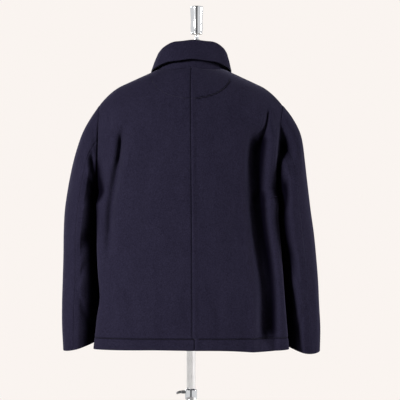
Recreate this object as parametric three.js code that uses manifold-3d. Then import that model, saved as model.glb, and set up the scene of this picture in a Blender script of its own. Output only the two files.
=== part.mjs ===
// A wool short coat on a limbless dress form and its stand.
// Millimetres, +Z up, the floor at 0 and the pole on the Z axis. The front faces -Y, so +X is the wearer's left.
import * as THREE from 'three';
import { mergeVertices } from 'three/addons/utils/BufferGeometryUtils.js';
import Module from 'manifold-3d';

const wasm = await Module();
wasm.setup();

// ---- driving sizes ----
const WOOL = 2.5; // thickness of the melton cloth
const PLY = 1.5; // one pressed ply of the collar
const SEAM = 0.3; // gap between two pieces where they are sewn together
const HEM_Z = 727;
const UNDERARM_Z = 1105;
const SHOULDER_POINT_Z = 1345;
const SHOULDER_X = 232; // half the shoulder width
const NECK_X = 88; // half the neck opening's width
const SHOULDER_TOP_Z = 1474; // where the shoulder line would reach the middle
const SHOULDER_SLOPE = 0.46;
const SHOULDER_ROUND_X = 175; // outside this the shoulder line bends down
const SHOULDER_ROUND = 0.00686;
const NAPE_ROUND = 14; // rounds the shoulder line over the middle of the neck
const ROUNDNESS = 2.6; // power of the body's cross-section: 2 would be an ellipse
const ARMHOLE_OPENING = THREE.MathUtils.degToRad(24);
const ARMHOLE_FULL = 0.45; // share of the armhole's height over which it widens
const SIDE_PRESS = 8; // how far the sleeve that hangs against the body presses its side in
const RIDGE_TOP_Z = 1130; // the ridge beside the arm grows downwards from here
const RIDGE_RISE = 45;
const DENT_FROM = THREE.MathUtils.degToRad(58);
const DENT_FADE_Z = 60; // the dent grows over this length below the underarm
const FOLD_LEAN = 0.3; // folds sink mostly towards the middle plane, so that their walls stay apart
const LAP_X = 27.2; // how far the left front laps past the middle
const LAP_FADE_X = 62; // the right front sinks under the lap from here
const LEAN_Z = 1380; // the neck leans to the wearer's right above this
const LEAN = 0.00047;
const BACK_SEAM_DRIFT = -4; // the back seam's sideways drift from neck to hem
const NECK_STEPS = 5;
const BUTTON_COUNT = 5;
const BUTTON_RADIUS = 11.5;
const BUTTON_THICKNESS = 3.5;
const POLE_RADIUS = 11;
const TUBE_RADIUS = 13;
const TUBE_TOP_Z = 594;
const CLAMP_TOP_Z = 618;
const CLAMP_RADIUS = 15;
const BORE_GAP = 0.3;
const BASE_RADIUS = 180;
const BASE_THICKNESS = 10;
const FORM_BOTTOM_Z = 790;
const FORM_SEAT_GAP = 0.5; // between the coat and the shoulders that carry it
const ROUND_STEPS = 28;

const COLOURS = {
  wool: { color: 0x222133, roughness: 0.95, metalness: 0 },
  horn: { color: 0x1a1920, roughness: 0.45, metalness: 0 },
  linen: { color: 0xd8cfbf, roughness: 0.9, metalness: 0 },
  chrome: { color: 0xd9dadc, roughness: 0.12, metalness: 1 },
  enamel: { color: 0x2a2a2c, roughness: 0.4, metalness: 0.3 },
};

// ---- tables: a row for each level, fold or station ----

// Half widths of the coat's body at each height, as its edge shows beside the sleeves.
const BODY_WIDTHS = [
  { z: 730, left: 246, right: 247 },
  { z: 790, left: 239, right: 241 },
  { z: 860, left: 233, right: 234 },
  { z: 980, left: 237, right: 225 },
  { z: 1105, left: 237, right: 217 },
  { z: 1220, left: 235, right: 221 },
  { z: 1345, left: 232, right: 232 },
];
// Half depths of the coat's body.
const BODY_DEPTHS = [
  { z: 730, back: 121, front: 127 },
  { z: 860, back: 116, front: 122 },
  { z: 1000, back: 114, front: 121 },
  { z: 1105, back: 120, front: 124 },
  { z: 1345, back: 122, front: 124 },
];
// The two faces of the body. The ridge is how far the cloth stands out beside the arm.
const FACES = {
  back: { sign: 1, capPower: 2.4, neckDepth: 62, ridge: 22 },
  front: { sign: -1, capPower: 1.9, neckDepth: 88, ridge: 11 },
};
// Folds of the body: each follows a line of heights and distances from the middle. A negative depth is a ridge.
// Within is the width of its side towards the middle, and beyond that of its other side.
const BODY_FOLDS = [
  {
    face: 'back', side: -1, depth: 30, within: 24, beyond: 12, fadeTop: 60, fadeBottom: 60, hemShare: 0.4,
    line: [
      { z: 1300, x: 188 }, { z: 1253, x: 182 }, { z: 1228, x: 179 }, { z: 1153, x: 176 }, { z: 1102, x: 179 },
      { z: 1027, x: 186 }, { z: 952, x: 199 }, { z: 876, x: 208 }, { z: 801, x: 209 }, { z: 730, x: 209 },
    ],
  },
  {
    face: 'back', side: -1, depth: 9, within: 8, beyond: 6, fadeTop: 30, fadeBottom: 60, hemShare: 0,
    line: [{ z: 1350, x: 199 }, { z: 1303, x: 193 }, { z: 1265, x: 186 }, { z: 1225, x: 180 }],
  },
  {
    face: 'back', side: -1, depth: -5, within: 12, beyond: 12, fadeTop: 80, fadeBottom: 120, hemShare: 0.3,
    line: [{ z: 1300, x: 212 }, { z: 1128, x: 200 }, { z: 900, x: 220 }, { z: 730, x: 226 }],
  },
  {
    face: 'back', side: -1, depth: -8, within: 15, beyond: 7, fadeTop: 60, fadeBottom: 60, hemShare: 0,
    line: [{ z: 1320, x: 215 }, { z: 1230, x: 212 }, { z: 1153, x: 209 }, { z: 1102, x: 207 }, { z: 1060, x: 208 }],
  },
  {
    face: 'back', side: 1, depth: 14, within: 12, beyond: 9, fadeTop: 60, fadeBottom: 160, hemShare: 0,
    line: [
      { z: 1300, x: 166 }, { z: 1253, x: 175 }, { z: 1203, x: 181 }, { z: 1153, x: 191 }, { z: 1102, x: 200 },
      { z: 1027, x: 205 }, { z: 952, x: 210 }, { z: 900, x: 212 },
    ],
  },
  {
    face: 'back', side: 1, depth: 5, within: 20, beyond: 20, fadeTop: 90, fadeBottom: 60, hemShare: 0,
    line: [{ z: 930, x: 226 }, { z: 800, x: 222 }],
  },
  {
    face: 'front', side: -1, depth: 10, within: 16, beyond: 16, fadeTop: 100, fadeBottom: 160, hemShare: 0.3,
    line: [{ z: 1330, x: 186 }, { z: 1200, x: 168 }, { z: 1000, x: 174 }, { z: 730, x: 184 }],
  },
  {
    face: 'front', side: 1, depth: 9, within: 17, beyond: 17, fadeTop: 100, fadeBottom: 200, hemShare: 0.2,
    line: [{ z: 1320, x: 184 }, { z: 1180, x: 171 }, { z: 1000, x: 182 }, { z: 730, x: 196 }],
  },
];
// The back hem hangs a little lower at the right and a little higher at the left.
const HEM_DROPS = [
  { face: 'back', x: -170, width: 60, drop: 4.5 },
  { face: 'back', x: 90, width: 60, drop: -1.2 },
  { face: 'front', x: -100, width: 80, drop: 1.5 },
];
// Distances from the middle of the columns of points, measured along the shoulder.
const PLAIN_COLUMNS = [108, 128, 148, 166, 182, 197, 210, 222, 232];
const FOLDED_COLUMNS = [
  104, 118, 130, 140, 148, 155, 160, 164, 168, 172, 176, 180, 184, 188, 192, 197, 203, 210, 218, 225, 232,
];
const BODY_ROWS = 9; // from the hem to the underarm
const CAP_ROWS = [0.04, 0.12, 0.24, 0.37, 0.5, 0.62, 0.73, 0.83, 0.91, 0.965, 0.992, 1];
const BACK_SEAM_ROW = 6; // the rows where the sleeve's two seams meet the armhole
const FRONT_SEAM_ROW = 3;

// Sleeve stations from the armhole to the cuff: the outer line, the inner line next to the body, half the depth from
// front to back, and how far the arm swings forward.
const SLEEVES = {
  left: [
    { outX: 234, outZ: 1345, inX: 237, inZ: 1105, depth: 62, forward: 0 },
    { outX: 241, outZ: 1334, inX: 238.8, inZ: 1110, depth: 67, forward: 0 },
    { outX: 251, outZ: 1320, inX: 240.2, inZ: 1111, depth: 73, forward: 0 },
    { outX: 262, outZ: 1304, inX: 240.6, inZ: 1104, depth: 79, forward: 1 },
    { outX: 274, outZ: 1281, inX: 238.4, inZ: 1088, depth: 83, forward: 2 },
    { outX: 285, outZ: 1252, inX: 234.5, inZ: 1064, depth: 85, forward: 4 },
    { outX: 296, outZ: 1215, inX: 233, inZ: 1034, depth: 86, forward: 5 },
    { outX: 306, outZ: 1172, inX: 234, inZ: 1000, depth: 85, forward: 6 },
    { outX: 315, outZ: 1124, inX: 234, inZ: 965, depth: 82, forward: 8 },
    { outX: 322, outZ: 1075, inX: 233, inZ: 932, depth: 78, forward: 10 },
    { outX: 325, outZ: 1020, inX: 232, inZ: 896, depth: 73, forward: 12 },
    { outX: 326, outZ: 960, inX: 231, inZ: 861, depth: 68, forward: 14 },
    { outX: 328, outZ: 900, inX: 233, inZ: 828, depth: 63, forward: 16 },
    { outX: 330, outZ: 838, inX: 236, inZ: 795, depth: 58, forward: 18 },
    { outX: 330, outZ: 782, inX: 240, inZ: 765, depth: 54, forward: 19 },
    { outX: 327, outZ: 718, inX: 246, inZ: 738, depth: 51, forward: 20 },
  ],
  right: [
    { outX: 235, outZ: 1345, inX: 217, inZ: 1105, depth: 62, forward: 0 },
    { outX: 243, outZ: 1335, inX: 218.8, inZ: 1110, depth: 67, forward: 0 },
    { outX: 254, outZ: 1321, inX: 220.4, inZ: 1111, depth: 73, forward: 0 },
    { outX: 265, outZ: 1304, inX: 220.8, inZ: 1104, depth: 79, forward: 1 },
    { outX: 276, outZ: 1280, inX: 218.8, inZ: 1088, depth: 83, forward: 2 },
    { outX: 284, outZ: 1251, inX: 215.4, inZ: 1064, depth: 85, forward: 4 },
    { outX: 289, outZ: 1214, inX: 216, inZ: 1034, depth: 86, forward: 5 },
    { outX: 294, outZ: 1170, inX: 218.5, inZ: 1000, depth: 85, forward: 6 },
    { outX: 300, outZ: 1120, inX: 222.5, inZ: 965, depth: 82, forward: 8 },
    { outX: 306, outZ: 1072, inX: 225.5, inZ: 932, depth: 78, forward: 10 },
    { outX: 314, outZ: 1016, inX: 229, inZ: 896, depth: 73, forward: 12 },
    { outX: 320, outZ: 957, inX: 233, inZ: 860, depth: 68, forward: 14 },
    { outX: 325, outZ: 896, inX: 237, inZ: 826, depth: 63, forward: 16 },
    { outX: 328, outZ: 834, inX: 239, inZ: 792, depth: 58, forward: 18 },
    { outX: 331, outZ: 776, inX: 243, inZ: 758, depth: 54, forward: 19 },
    { outX: 330, outZ: 716, inX: 248, inZ: 727, depth: 51, forward: 20 },
  ],
};
const SLEEVE_POWER = 2.35; // power of the sleeve's outer half: fuller than an ellipse
const INNER_POWER = 1.4; // power of its inner half, which draws in where the arm hangs against the body
const CUFF_BOW = { left: 4, right: 9 }; // how far the cuff's edge dips between the inner and the outer line
const SLEEVE_ROLL = 6; // how far the sleeve runs on at the underarm before it turns into the arm
const SIDE_ROLL = 1.2; // and how far at the armhole's sides
const SLEEVE_BLEND = 4.5; // stations over which it turns
// Folds of the sleeves: each is a slanting trough across the tube. Angles go round from the inner line by the back.
const SLEEVE_FOLDS = [
  { side: -1, station: 5.2, slope: 0.6, angle: 62, reach: 34, depth: 11, width: 1.1 },
  { side: -1, station: 9.5, slope: 1.6, angle: 60, reach: 40, depth: 6, width: 0.9 },
  { side: 1, station: 8.7, slope: 1.5, angle: 66, reach: 36, depth: 8, width: 0.8 },
  { side: 1, station: 4.8, slope: 0.5, angle: 60, reach: 30, depth: 7, width: 1.0 },
  { side: 1, station: 9.4, slope: -1.2, angle: 292, reach: 42, depth: 6, width: 0.9 },
  { side: -1, station: 8.8, slope: -1.3, angle: 290, reach: 42, depth: 7, width: 0.9 },
  { side: -1, station: 2.6, slope: 0.8, angle: 128, reach: 30, depth: 30, width: 1.3 },
  { side: 1, station: 3.2, slope: 0.2, angle: 84, reach: 16, depth: 12, width: 0.6 },
];

// The collar around the neck, from the middle of the back (0) to the middle of the front (180 degrees).
// Rise is above the neck seam and out is away from the neck.
const COLLAR = [
  { angle: 0, foldRise: 68, foldOut: -2, edgeRise: 20, edgeOut: 18, edgeShift: 0 },
  { angle: 18, foldRise: 69, foldOut: -2, edgeRise: 20, edgeOut: 18, edgeShift: 0 },
  { angle: 36, foldRise: 68, foldOut: -2, edgeRise: 18, edgeOut: 17, edgeShift: 0 },
  { angle: 57, foldRise: 56, foldOut: -3, edgeRise: 8, edgeOut: 14, edgeShift: 0 },
  { angle: 72, foldRise: 46, foldOut: -4, edgeRise: 2, edgeOut: 12, edgeShift: 0 },
  { angle: 90, foldRise: 38, foldOut: -4, edgeRise: 0, edgeOut: 12, edgeShift: 0 },
  { angle: 108, foldRise: 37, foldOut: -3, edgeRise: -4, edgeOut: 17, edgeShift: 1 },
  { angle: 126, foldRise: 38, foldOut: -1, edgeRise: -15, edgeOut: 20.5, edgeShift: 3 },
  { angle: 153, foldRise: 39, foldOut: 0, edgeRise: -32, edgeOut: 22, edgeShift: 13 },
  { angle: 180, foldRise: 39, foldOut: 1, edgeRise: -43, edgeOut: 24.5, edgeShift: 34 },
];
const COLLAR_FOLD_RADIUS = 5;
const COLLAR_END_GAP = 1.5;
const COLLAR_END_LIFT = 0.5; // keeps the collar's front corners above the rising neck seam
const STAND_STEPS = 3;
const FOLD_STEPS = 5;
const LEAF_STEPS = 4;

// The dress form's trunk at each height: its half width, how far it reaches forward and back from the pole, and the
// power of its front half's outline, where less than 2 slopes away from the chest.
const FORM_LEVELS = [
  { z: 790, width: 166, front: 106, back: 102, power: 2 },
  { z: 850, width: 171, front: 110, back: 106, power: 2 },
  { z: 930, width: 160, front: 104, back: 102, power: 2 },
  { z: 1020, width: 148, front: 98, back: 97, power: 2 },
  { z: 1110, width: 155, front: 102, back: 101, power: 2 },
  { z: 1200, width: 166, front: 105, back: 104, power: 2 },
  { z: 1270, width: 173, front: 98, back: 102, power: 1.9 },
  { z: 1320, width: 182, front: 82, back: 94, power: 1.8 },
  { z: 1352, width: 186, front: 66, back: 82, power: 1.7 },
  { z: 1376, width: 182, front: 55, back: 72, power: 1.6 },
];
const FORM_SEAT_LEVELS = [
  { z: 1392, front: 51, back: 66, power: 1.5 },
  { z: 1406, front: 44, back: 59, power: 1.4 },
  { z: 1420, front: 40, back: 52, power: 1.3 },
];
const FORM_NECK_LEVELS = [
  { z: 1432, width: 79, front: 48, back: 47, power: 1.6 },
  { z: 1444, width: 67, front: 58, back: 45, power: 2 },
  { z: 1464, width: 60, front: 60, back: 44, power: 2 },
  { z: 1494, width: 57, front: 59, back: 43, power: 2 },
  { z: 1502, width: 51, front: 54, back: 38, power: 2 },
  { z: 1506, width: 37, front: 42, back: 27, power: 2 },
];

// ---- small helpers ----

const vector = (x, y, z) => new THREE.Vector3(x, y, z);
const blendValue = (a, b, share) => a + (b - a) * share;

function ease(value) {
  const share = THREE.MathUtils.clamp(value, 0, 1);
  return share * share * (3 - 2 * share);
}

// A smooth curve through one column of a table, read at a value of its axis column.
function read(rows, axis, column, value) {
  const rising = rows[rows.length - 1][axis] > rows[0][axis];
  const table = rising ? rows : [...rows].reverse();
  const last = table.length - 1;
  if (value <= table[0][axis]) return table[0][column];
  if (value >= table[last][axis]) return table[last][column];
  let index = 0;
  while (table[index + 1][axis] < value) index += 1;
  const slope = (k) => {
    const before = table[Math.max(0, k - 1)];
    const after = table[Math.min(last, k + 1)];
    return (after[column] - before[column]) / (after[axis] - before[axis]);
  };
  const [start, stop] = [table[index], table[index + 1]];
  const span = stop[axis] - start[axis];
  const t = (value - start[axis]) / span;
  const [t2, t3] = [t * t, t * t * t];
  return (2 * t3 - 3 * t2 + 1) * start[column] + (t3 - 2 * t2 + t) * span * slope(index)
    + (3 * t2 - 2 * t3) * stop[column] + (t3 - t2) * span * slope(index + 1);
}

// The neck's lean, which every piece of the coat and the form follows.
function leaned(point) {
  const above = Math.max(0, point.z - LEAN_Z);
  return vector(point.x - LEAN * above * above, point.y, point.z);
}

function meshOf(name, geometry, finish) {
  const mesh = new THREE.Mesh(geometry, new THREE.MeshStandardMaterial(COLOURS[finish]));
  mesh.name = name;
  return mesh;
}

function geometryOf(points, triangles) {
  const geometry = new THREE.BufferGeometry();
  geometry.setAttribute('position', new THREE.Float32BufferAttribute(points.flatMap((p) => [p.x, p.y, p.z]), 3));
  let volume = 0;
  for (const [a, b, c] of triangles) {
    volume += points[a].dot(points[b].clone().cross(points[c]));
  }
  const facing = volume > 0 ? triangles : triangles.map(([a, b, c]) => [a, c, b]);
  geometry.setIndex(facing.flat());
  geometry.computeVertexNormals();
  return geometry;
}

// A wall of cloth between two grids of points, its outer and its inner face, closed along all four edges.
// The last edge's faces are split the other way where a neighbour's run against them.
function clothWall(name, outer, inner, splitBack = false) {
  const rows = outer.length;
  const columns = outer[0].length;
  const points = [...outer.flat(), ...inner.flat()].map(leaned);
  const at = (face, row, column) => face * rows * columns + row * columns + column;
  const triangles = [];
  const quad = (a, b, c, d) => triangles.push([a, b, c], [a, c, d]);
  for (let j = 0; j < rows - 1; j += 1) {
    for (let i = 0; i < columns - 1; i += 1) {
      quad(at(0, j, i), at(0, j, i + 1), at(0, j + 1, i + 1), at(0, j + 1, i));
      quad(at(1, j, i), at(1, j + 1, i), at(1, j + 1, i + 1), at(1, j, i + 1));
    }
  }
  for (let i = 0; i < columns - 1; i += 1) {
    quad(at(0, 0, i), at(1, 0, i), at(1, 0, i + 1), at(0, 0, i + 1));
    quad(at(0, rows - 1, i), at(0, rows - 1, i + 1), at(1, rows - 1, i + 1), at(1, rows - 1, i));
  }
  for (let j = 0; j < rows - 1; j += 1) {
    quad(at(0, j, 0), at(0, j + 1, 0), at(1, j + 1, 0), at(1, j, 0));
    const end = [at(0, j, columns - 1), at(1, j, columns - 1), at(1, j + 1, columns - 1), at(0, j + 1, columns - 1)];
    if (splitBack) end.push(end.shift());
    quad(...end);
  }
  return meshOf(name, geometryOf(points, triangles), 'wool');
}

// ---- the coat's body ----

function shoulderLine(distance) {
  const x = Math.hypot(distance, NAPE_ROUND);
  return SHOULDER_TOP_Z - SHOULDER_SLOPE * x - SHOULDER_ROUND * Math.max(0, x - SHOULDER_ROUND_X) ** 2;
}

const armholeAngle = (cap) => Math.PI / 2
  - ARMHOLE_OPENING * (1 - (1 - Math.min(1, cap / ARMHOLE_FULL)) ** 2);

const sideName = (side) => (side > 0 ? 'left' : 'right');

// The angle, around the cross-section, of a point that is a distance x from the middle of a row.
const angleOf = (x, half, edge) => Math.asin(Math.min(1, (x / half) ** (ROUNDNESS / 2) * Math.sin(edge)));

// The share of the cap's height at which a column of points meets the neck seam or the shoulder seam.
function columnTop(face, topX) {
  const { capPower, neckDepth } = FACES[face];
  const x = Math.abs(topX);
  if (x >= NECK_X) return 1;
  const neckY = neckDepth * Math.sqrt(1 - (x / NECK_X) ** 2);
  const depth = read(BODY_DEPTHS, 'z', face, SHOULDER_POINT_Z);
  const across = Math.cos(angleOf(x, SHOULDER_X, armholeAngle(1))) ** (2 / ROUNDNESS);
  return (1 - (neckY / (depth * across)) ** capPower) ** (1 / capPower);
}

// A point of the undisturbed body. Height 0 is the hem, 1 the underarm and 2 the shoulder or neck seam.
function bodyBase(face, side, topX, height) {
  const { sign, capPower, ridge } = FACES[face];
  const cap = Math.max(0, height - 1);
  const edge = armholeAngle(cap);
  const level = height < 1
    ? blendValue(HEM_Z, UNDERARM_Z, height) : blendValue(UNDERARM_Z, SHOULDER_POINT_Z, cap);
  const half = read(BODY_WIDTHS, 'z', sideName(side), level);
  const column = Math.abs(topX);
  const topAngle = angleOf(column, SHOULDER_X, armholeAngle(1));
  const angle = topX < 0 ? angleOf(column, half, edge) : (topAngle / armholeAngle(1)) * edge;
  const dented = height < 1 ? ease((UNDERARM_Z - level) / DENT_FADE_Z) : 0;
  const standing = ridge * ease((RIDGE_TOP_Z - level) / RIDGE_RISE);
  const spread = (half + standing) * (Math.sin(angle) / Math.sin(edge)) ** (2 / ROUNDNESS);
  const pressed = (standing + SIDE_PRESS * dented) * ease((angle - DENT_FROM) / (Math.PI / 2 - DENT_FROM));
  const x = topX < 0 ? column : spread - pressed;
  const share = cap * columnTop(face, topX);
  const rounding = (1 - share ** capPower) ** (1 / capPower);
  const across = Math.max(0, Math.cos(angle)) ** (2 / ROUNDNESS);
  const y = sign * read(BODY_DEPTHS, 'z', face, level) * across * rounding;
  const z = height < 1 ? level : UNDERARM_Z + (shoulderLine(x) - UNDERARM_Z) * share;
  return vector(side * Math.sign(topX || 1) * x, y, z);
}

// The outward normal of a surface, from the points close by.
function normalOf(surface, across, along, acrossRange, alongRange) {
  const step = 0.0015;
  const reach = step * (acrossRange[1] - acrossRange[0]);
  const clampTo = (value, [low, high]) => Math.min(high, Math.max(low, value));
  const left = surface(clampTo(across - reach, acrossRange), along);
  const right = surface(clampTo(across + reach, acrossRange), along);
  const below = surface(across, clampTo(along - step, alongRange));
  const above = surface(across, clampTo(along + step, alongRange));
  return right.sub(left).cross(above.sub(below)).normalize();
}

function outwardFromBody(normal, point) {
  const middle = vector(0, 0, Math.min(point.z, UNDERARM_Z));
  return normal.dot(point.clone().sub(middle)) < 0 ? normal.negate() : normal;
}

// How far the folds press the body inwards at a point.
function foldDepth(face, side, point, column, height) {
  const x = point.x * side;
  const atSeams = ease((SHOULDER_X - column) / 12) * ease((2 - height) / 0.25) * ease(x / 40);
  let depth = 0;
  for (const fold of BODY_FOLDS) {
    if (fold.face !== face || fold.side !== side) continue;
    const { line } = fold;
    const distance = x - read(line, 'z', 'x', point.z);
    const away = distance / (distance < 0 ? fold.within : fold.beyond);
    const start = ease((line[0].z - point.z) / fold.fadeTop);
    const end = blendValue(fold.hemShare, 1, ease((point.z - line[line.length - 1].z) / fold.fadeBottom));
    depth += fold.depth * start * end * Math.exp(-away * away);
  }
  return depth * atSeams;
}

function hemDrop(face, point) {
  const low = ease((880 - point.z) / 150);
  const drops = HEM_DROPS.filter((row) => row.face === face);
  return low * drops.reduce((sum, row) => sum + row.drop * Math.exp(-(((point.x - row.x) / row.width) ** 2)), 0);
}

// The right front sinks under the left one where they lap.
const lapDepth = (face, side, x) => (face === 'front' && side < 0
  ? (WOOL + SEAM) * ease((x * side * -1 + LAP_FADE_X) / (LAP_FADE_X - LAP_X - 4)) : 0);

function bodySurface(face, side) {
  const range = [-LAP_X, SHOULDER_X];
  const base = (column, height) => bodyBase(face, side, column, height);
  const folded = (column, height) => {
    const point = base(column, height);
    const normal = outwardFromBody(normalOf(base, column, height, range, [0, 2]), point);
    const depth = foldDepth(face, side, point, column, height) + lapDepth(face, side, point.x);
    const inwards = vector(normal.x * FOLD_LEAN, normal.y, normal.z).normalize();
    point.addScaledVector(inwards, -depth);
    point.z -= hemDrop(face, point);
    return point;
  };
  const seamNormal = (column, height, point) => {
    const smooth = outwardFromBody(normalOf(base, column, height, range, [0, 2]), point);
    const normal = normalOf(folded, column, height, range, [0, 2]);
    if (normal.dot(smooth) < 0) normal.negate();
    if (face === 'back' && column === 0) normal.x = 0;
    if (column >= SHOULDER_X && height <= 1) normal.y = 0;
    if (column >= NECK_X && height >= 2) normal.y = 0;
    return normal.normalize();
  };
  return { folded, seamNormal };
}

function bodyHeights() {
  const lower = Array.from({ length: BODY_ROWS }, (_, k) => k / BODY_ROWS);
  return [...lower, 1, ...CAP_ROWS.map((share) => 1 + share)];
}

function neckColumns() {
  return Array.from({ length: NECK_STEPS + 1 }, (_, k) => NECK_X * Math.sin((k / NECK_STEPS) * Math.PI / 2));
}

function bodyPanel(face, side, columns) {
  const { sign } = FACES[face];
  const { folded, seamNormal } = bodySurface(face, side);
  const heights = bodyHeights();
  const setBack = (point, column, height) => {
    const moved = point.clone();
    if (face === 'back' && column === 0) moved.x = side * SEAM / 2;
    if (column >= SHOULDER_X && height <= 1) moved.y = sign * SEAM / 2;
    if (column >= NECK_X && height >= 2) moved.y = sign * SEAM / 2;
    const drift = BACK_SEAM_DRIFT * ease((SHOULDER_TOP_Z - moved.z) / (SHOULDER_TOP_Z - HEM_Z));
    moved.x += drift * (1 - Math.min(1, Math.abs(column) / SHOULDER_X));
    return moved;
  };
  const outer = [];
  const inner = [];
  for (const height of heights) {
    const points = columns.map((column) => folded(column, height));
    const normals = columns.map((column, i) => seamNormal(column, height, points[i]));
    outer.push(points.map((point, i) => setBack(point, columns[i], height)));
    inner.push(points.map((point, i) => setBack(
      point.clone().addScaledVector(normals[i], -WOOL), columns[i], height,
    )));
  }
  return { outer, inner };
}

// ---- the sleeves ----

// The armhole's edge, once round: from the underarm up the back to the shoulder point and down the front.
function armholeLoop(back, front) {
  const first = BODY_ROWS;
  const top = back.outer.length - 1;
  const loop = [];
  const add = (panel, row, face) => loop.push({
    outer: panel.outer[row].at(-1).clone(), inner: panel.inner[row].at(-1).clone(),
    within: panel.outer[row].at(-2), face,
  });
  for (let row = first; row <= top; row += 1) add(back, row, 1);
  for (let row = top - 1; row > first; row -= 1) add(front, row, -1);
  for (const index of [0, top - first]) {
    loop[index].outer.y = 0;
    loop[index].inner.y = 0;
    loop[index].face = 0;
  }
  return loop;
}

// The direction in which the sleeve leaves the armhole at each point of the loop.
function leavingDirections(loop) {
  const count = loop.length;
  return loop.map((spot, index) => {
    const along = loop[(index + 1) % count].outer.clone().sub(loop[(index + count - 1) % count].outer);
    const direction = along.cross(spot.outer.clone().sub(spot.inner)).normalize();
    const away = spot.outer.clone().sub(spot.within);
    if (spot.face === 0) away.set(0, 0, 1);
    if (index === count / 2) away.set(Math.sign(spot.outer.x), 0, -1);
    return direction.dot(away) < 0 ? direction.negate() : direction;
  });
}

function sleeveRings(side, loop) {
  const stations = SLEEVES[sideName(side)].map((row, station) => ({ station, ...row }));
  const leaving = leavingDirections(loop);
  const middleZ = (UNDERARM_Z + SHOULDER_POINT_Z) / 2;
  const halfHeight = (SHOULDER_POINT_Z - UNDERARM_Z) / 2;
  const angles = loop.map((spot) => {
    const level = THREE.MathUtils.clamp((middleZ - spot.outer.z) / halfHeight, -1, 1);
    const angle = Math.acos(level);
    return spot.face < 0 ? 2 * Math.PI - angle : angle;
  });
  angles[0] = 0;
  angles[loop.length / 2] = Math.PI;
  const steps = [0, 0.6, 1.3, 2.1, 3, 4, 5, 6, 7, 8, 9, 10, 11, 12, 13, 14, 15];
  const rings = steps.map((station) => {
    const value = (column) => read(stations, 'station', column, station);
    const outerEnd = vector(side * value('outX'), -value('forward'), value('outZ'));
    const innerEnd = vector(side * value('inX'), -value('forward'), value('inZ'));
    const middle = outerEnd.clone().add(innerEnd).multiplyScalar(0.5);
    const half = outerEnd.clone().sub(innerEnd).multiplyScalar(0.5);
    const turned = ease(station / SLEEVE_BLEND);
    return loop.map((spot, index) => {
      const angle = angles[index];
      const drawn = blendValue(2, INNER_POWER, ease((station - 1) / 4));
      const power = Math.cos(angle) > 0 ? drawn : SLEEVE_POWER;
      const full = (share) => Math.sign(share) * Math.abs(share) ** (2 / power);
      const arm = middle.clone().addScaledVector(half, -full(Math.cos(angle)));
      arm.y += value('depth') * full(Math.sin(angle));
      const towards = vector(middle.x, 0, middle.z).sub(arm).normalize();
      const pressed = sleeveFoldDepth(side, station, THREE.MathUtils.radToDeg(angle)) * ease(station / 1.2);
      arm.z -= CUFF_BOW[sideName(side)] * Math.sin(angle) ** 2 * ease((station - 12) / 3);
      const underarm = Math.max(0, Math.cos(angle)) ** 3;
      const run = blendValue(SIDE_ROLL, SLEEVE_ROLL, underarm) * Math.min(1, station / 1.3) + SEAM;
      const seam = spot.outer.clone().addScaledVector(leaving[index], run);
      return seam.lerp(arm, turned).addScaledVector(towards, pressed);
    });
  });
  return { rings, leaving };
}

function sleeveFoldDepth(side, station, angle) {
  let depth = 0;
  for (const fold of SLEEVE_FOLDS) {
    if (fold.side !== side) continue;
    const around = (angle - fold.angle) / fold.reach;
    const along = (station - fold.station - fold.slope * around) / fold.width;
    depth += fold.depth * Math.exp(-around * around - along * along);
  }
  return depth;
}

// Outer and inner points of the whole sleeve, as closed rings.
function sleeveTube(side, loop) {
  const { rings, leaving } = sleeveRings(side, loop);
  const count = loop.length;
  const inner = rings.map((ring, j) => ring.map((point, i) => {
    if (j === 0) return loop[i].inner.clone().addScaledVector(leaving[i], SEAM);
    const before = rings[j - 1][i];
    const after = rings[Math.min(rings.length - 1, j + 1)][i];
    const around = ring[(i + 1) % count].clone().sub(ring[(i + count - 1) % count]);
    const inwards = around.cross(after.clone().sub(before)).normalize();
    return point.clone().addScaledVector(inwards, -side * WOOL);
  }));
  return { outer: rings, inner };
}

// One of the sleeve's two pieces: the points of each ring from one seam to the other.
function sleevePiece(name, tube, from, to) {
  const count = tube.outer[0].length;
  const steps = (to - from + count) % count;
  const cut = (ring) => {
    const pick = (k) => ring[(from + k + count) % count].clone();
    const piece = Array.from({ length: steps + 1 }, (_, k) => pick(k));
    const tangentStart = pick(1).sub(pick(-1)).normalize();
    const tangentEnd = pick(steps + 1).sub(pick(steps - 1)).normalize();
    piece[0].addScaledVector(tangentStart, SEAM / 2);
    piece[steps].addScaledVector(tangentEnd, -SEAM / 2);
    return piece;
  };
  return clothWall(name, tube.outer.map(cut), tube.inner.map(cut));
}

// ---- the collar ----

// The folded profile of the collar at one place round the neck, as rise and out from the neck seam.
function collarProfile(value) {
  const radius = COLLAR_FOLD_RADIUS;
  const start = { rise: SEAM, out: -PLY - SEAM / 2 };
  const centre = { rise: value('foldRise') - radius, out: value('foldOut') };
  const profile = [];
  for (let k = 0; k < STAND_STEPS; k += 1) {
    const t = k / STAND_STEPS;
    profile.push({
      rise: blendValue(start.rise, centre.rise, t), out: blendValue(start.out, centre.out - radius, t), leaf: 0,
    });
  }
  for (let k = 0; k <= FOLD_STEPS; k += 1) {
    const angle = Math.PI * (1 - k / FOLD_STEPS);
    profile.push({
      rise: centre.rise + radius * Math.sin(angle), out: centre.out + radius * Math.cos(angle), leaf: 0,
    });
  }
  for (let k = 1; k <= LEAF_STEPS; k += 1) {
    const t = k / LEAF_STEPS;
    profile.push({
      rise: blendValue(centre.rise, value('edgeRise'), t),
      out: blendValue(centre.out + radius, value('edgeOut'), t * (2 - t) * 0.5 + t * 0.5),
      leaf: t,
    });
  }
  return profile;
}

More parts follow.
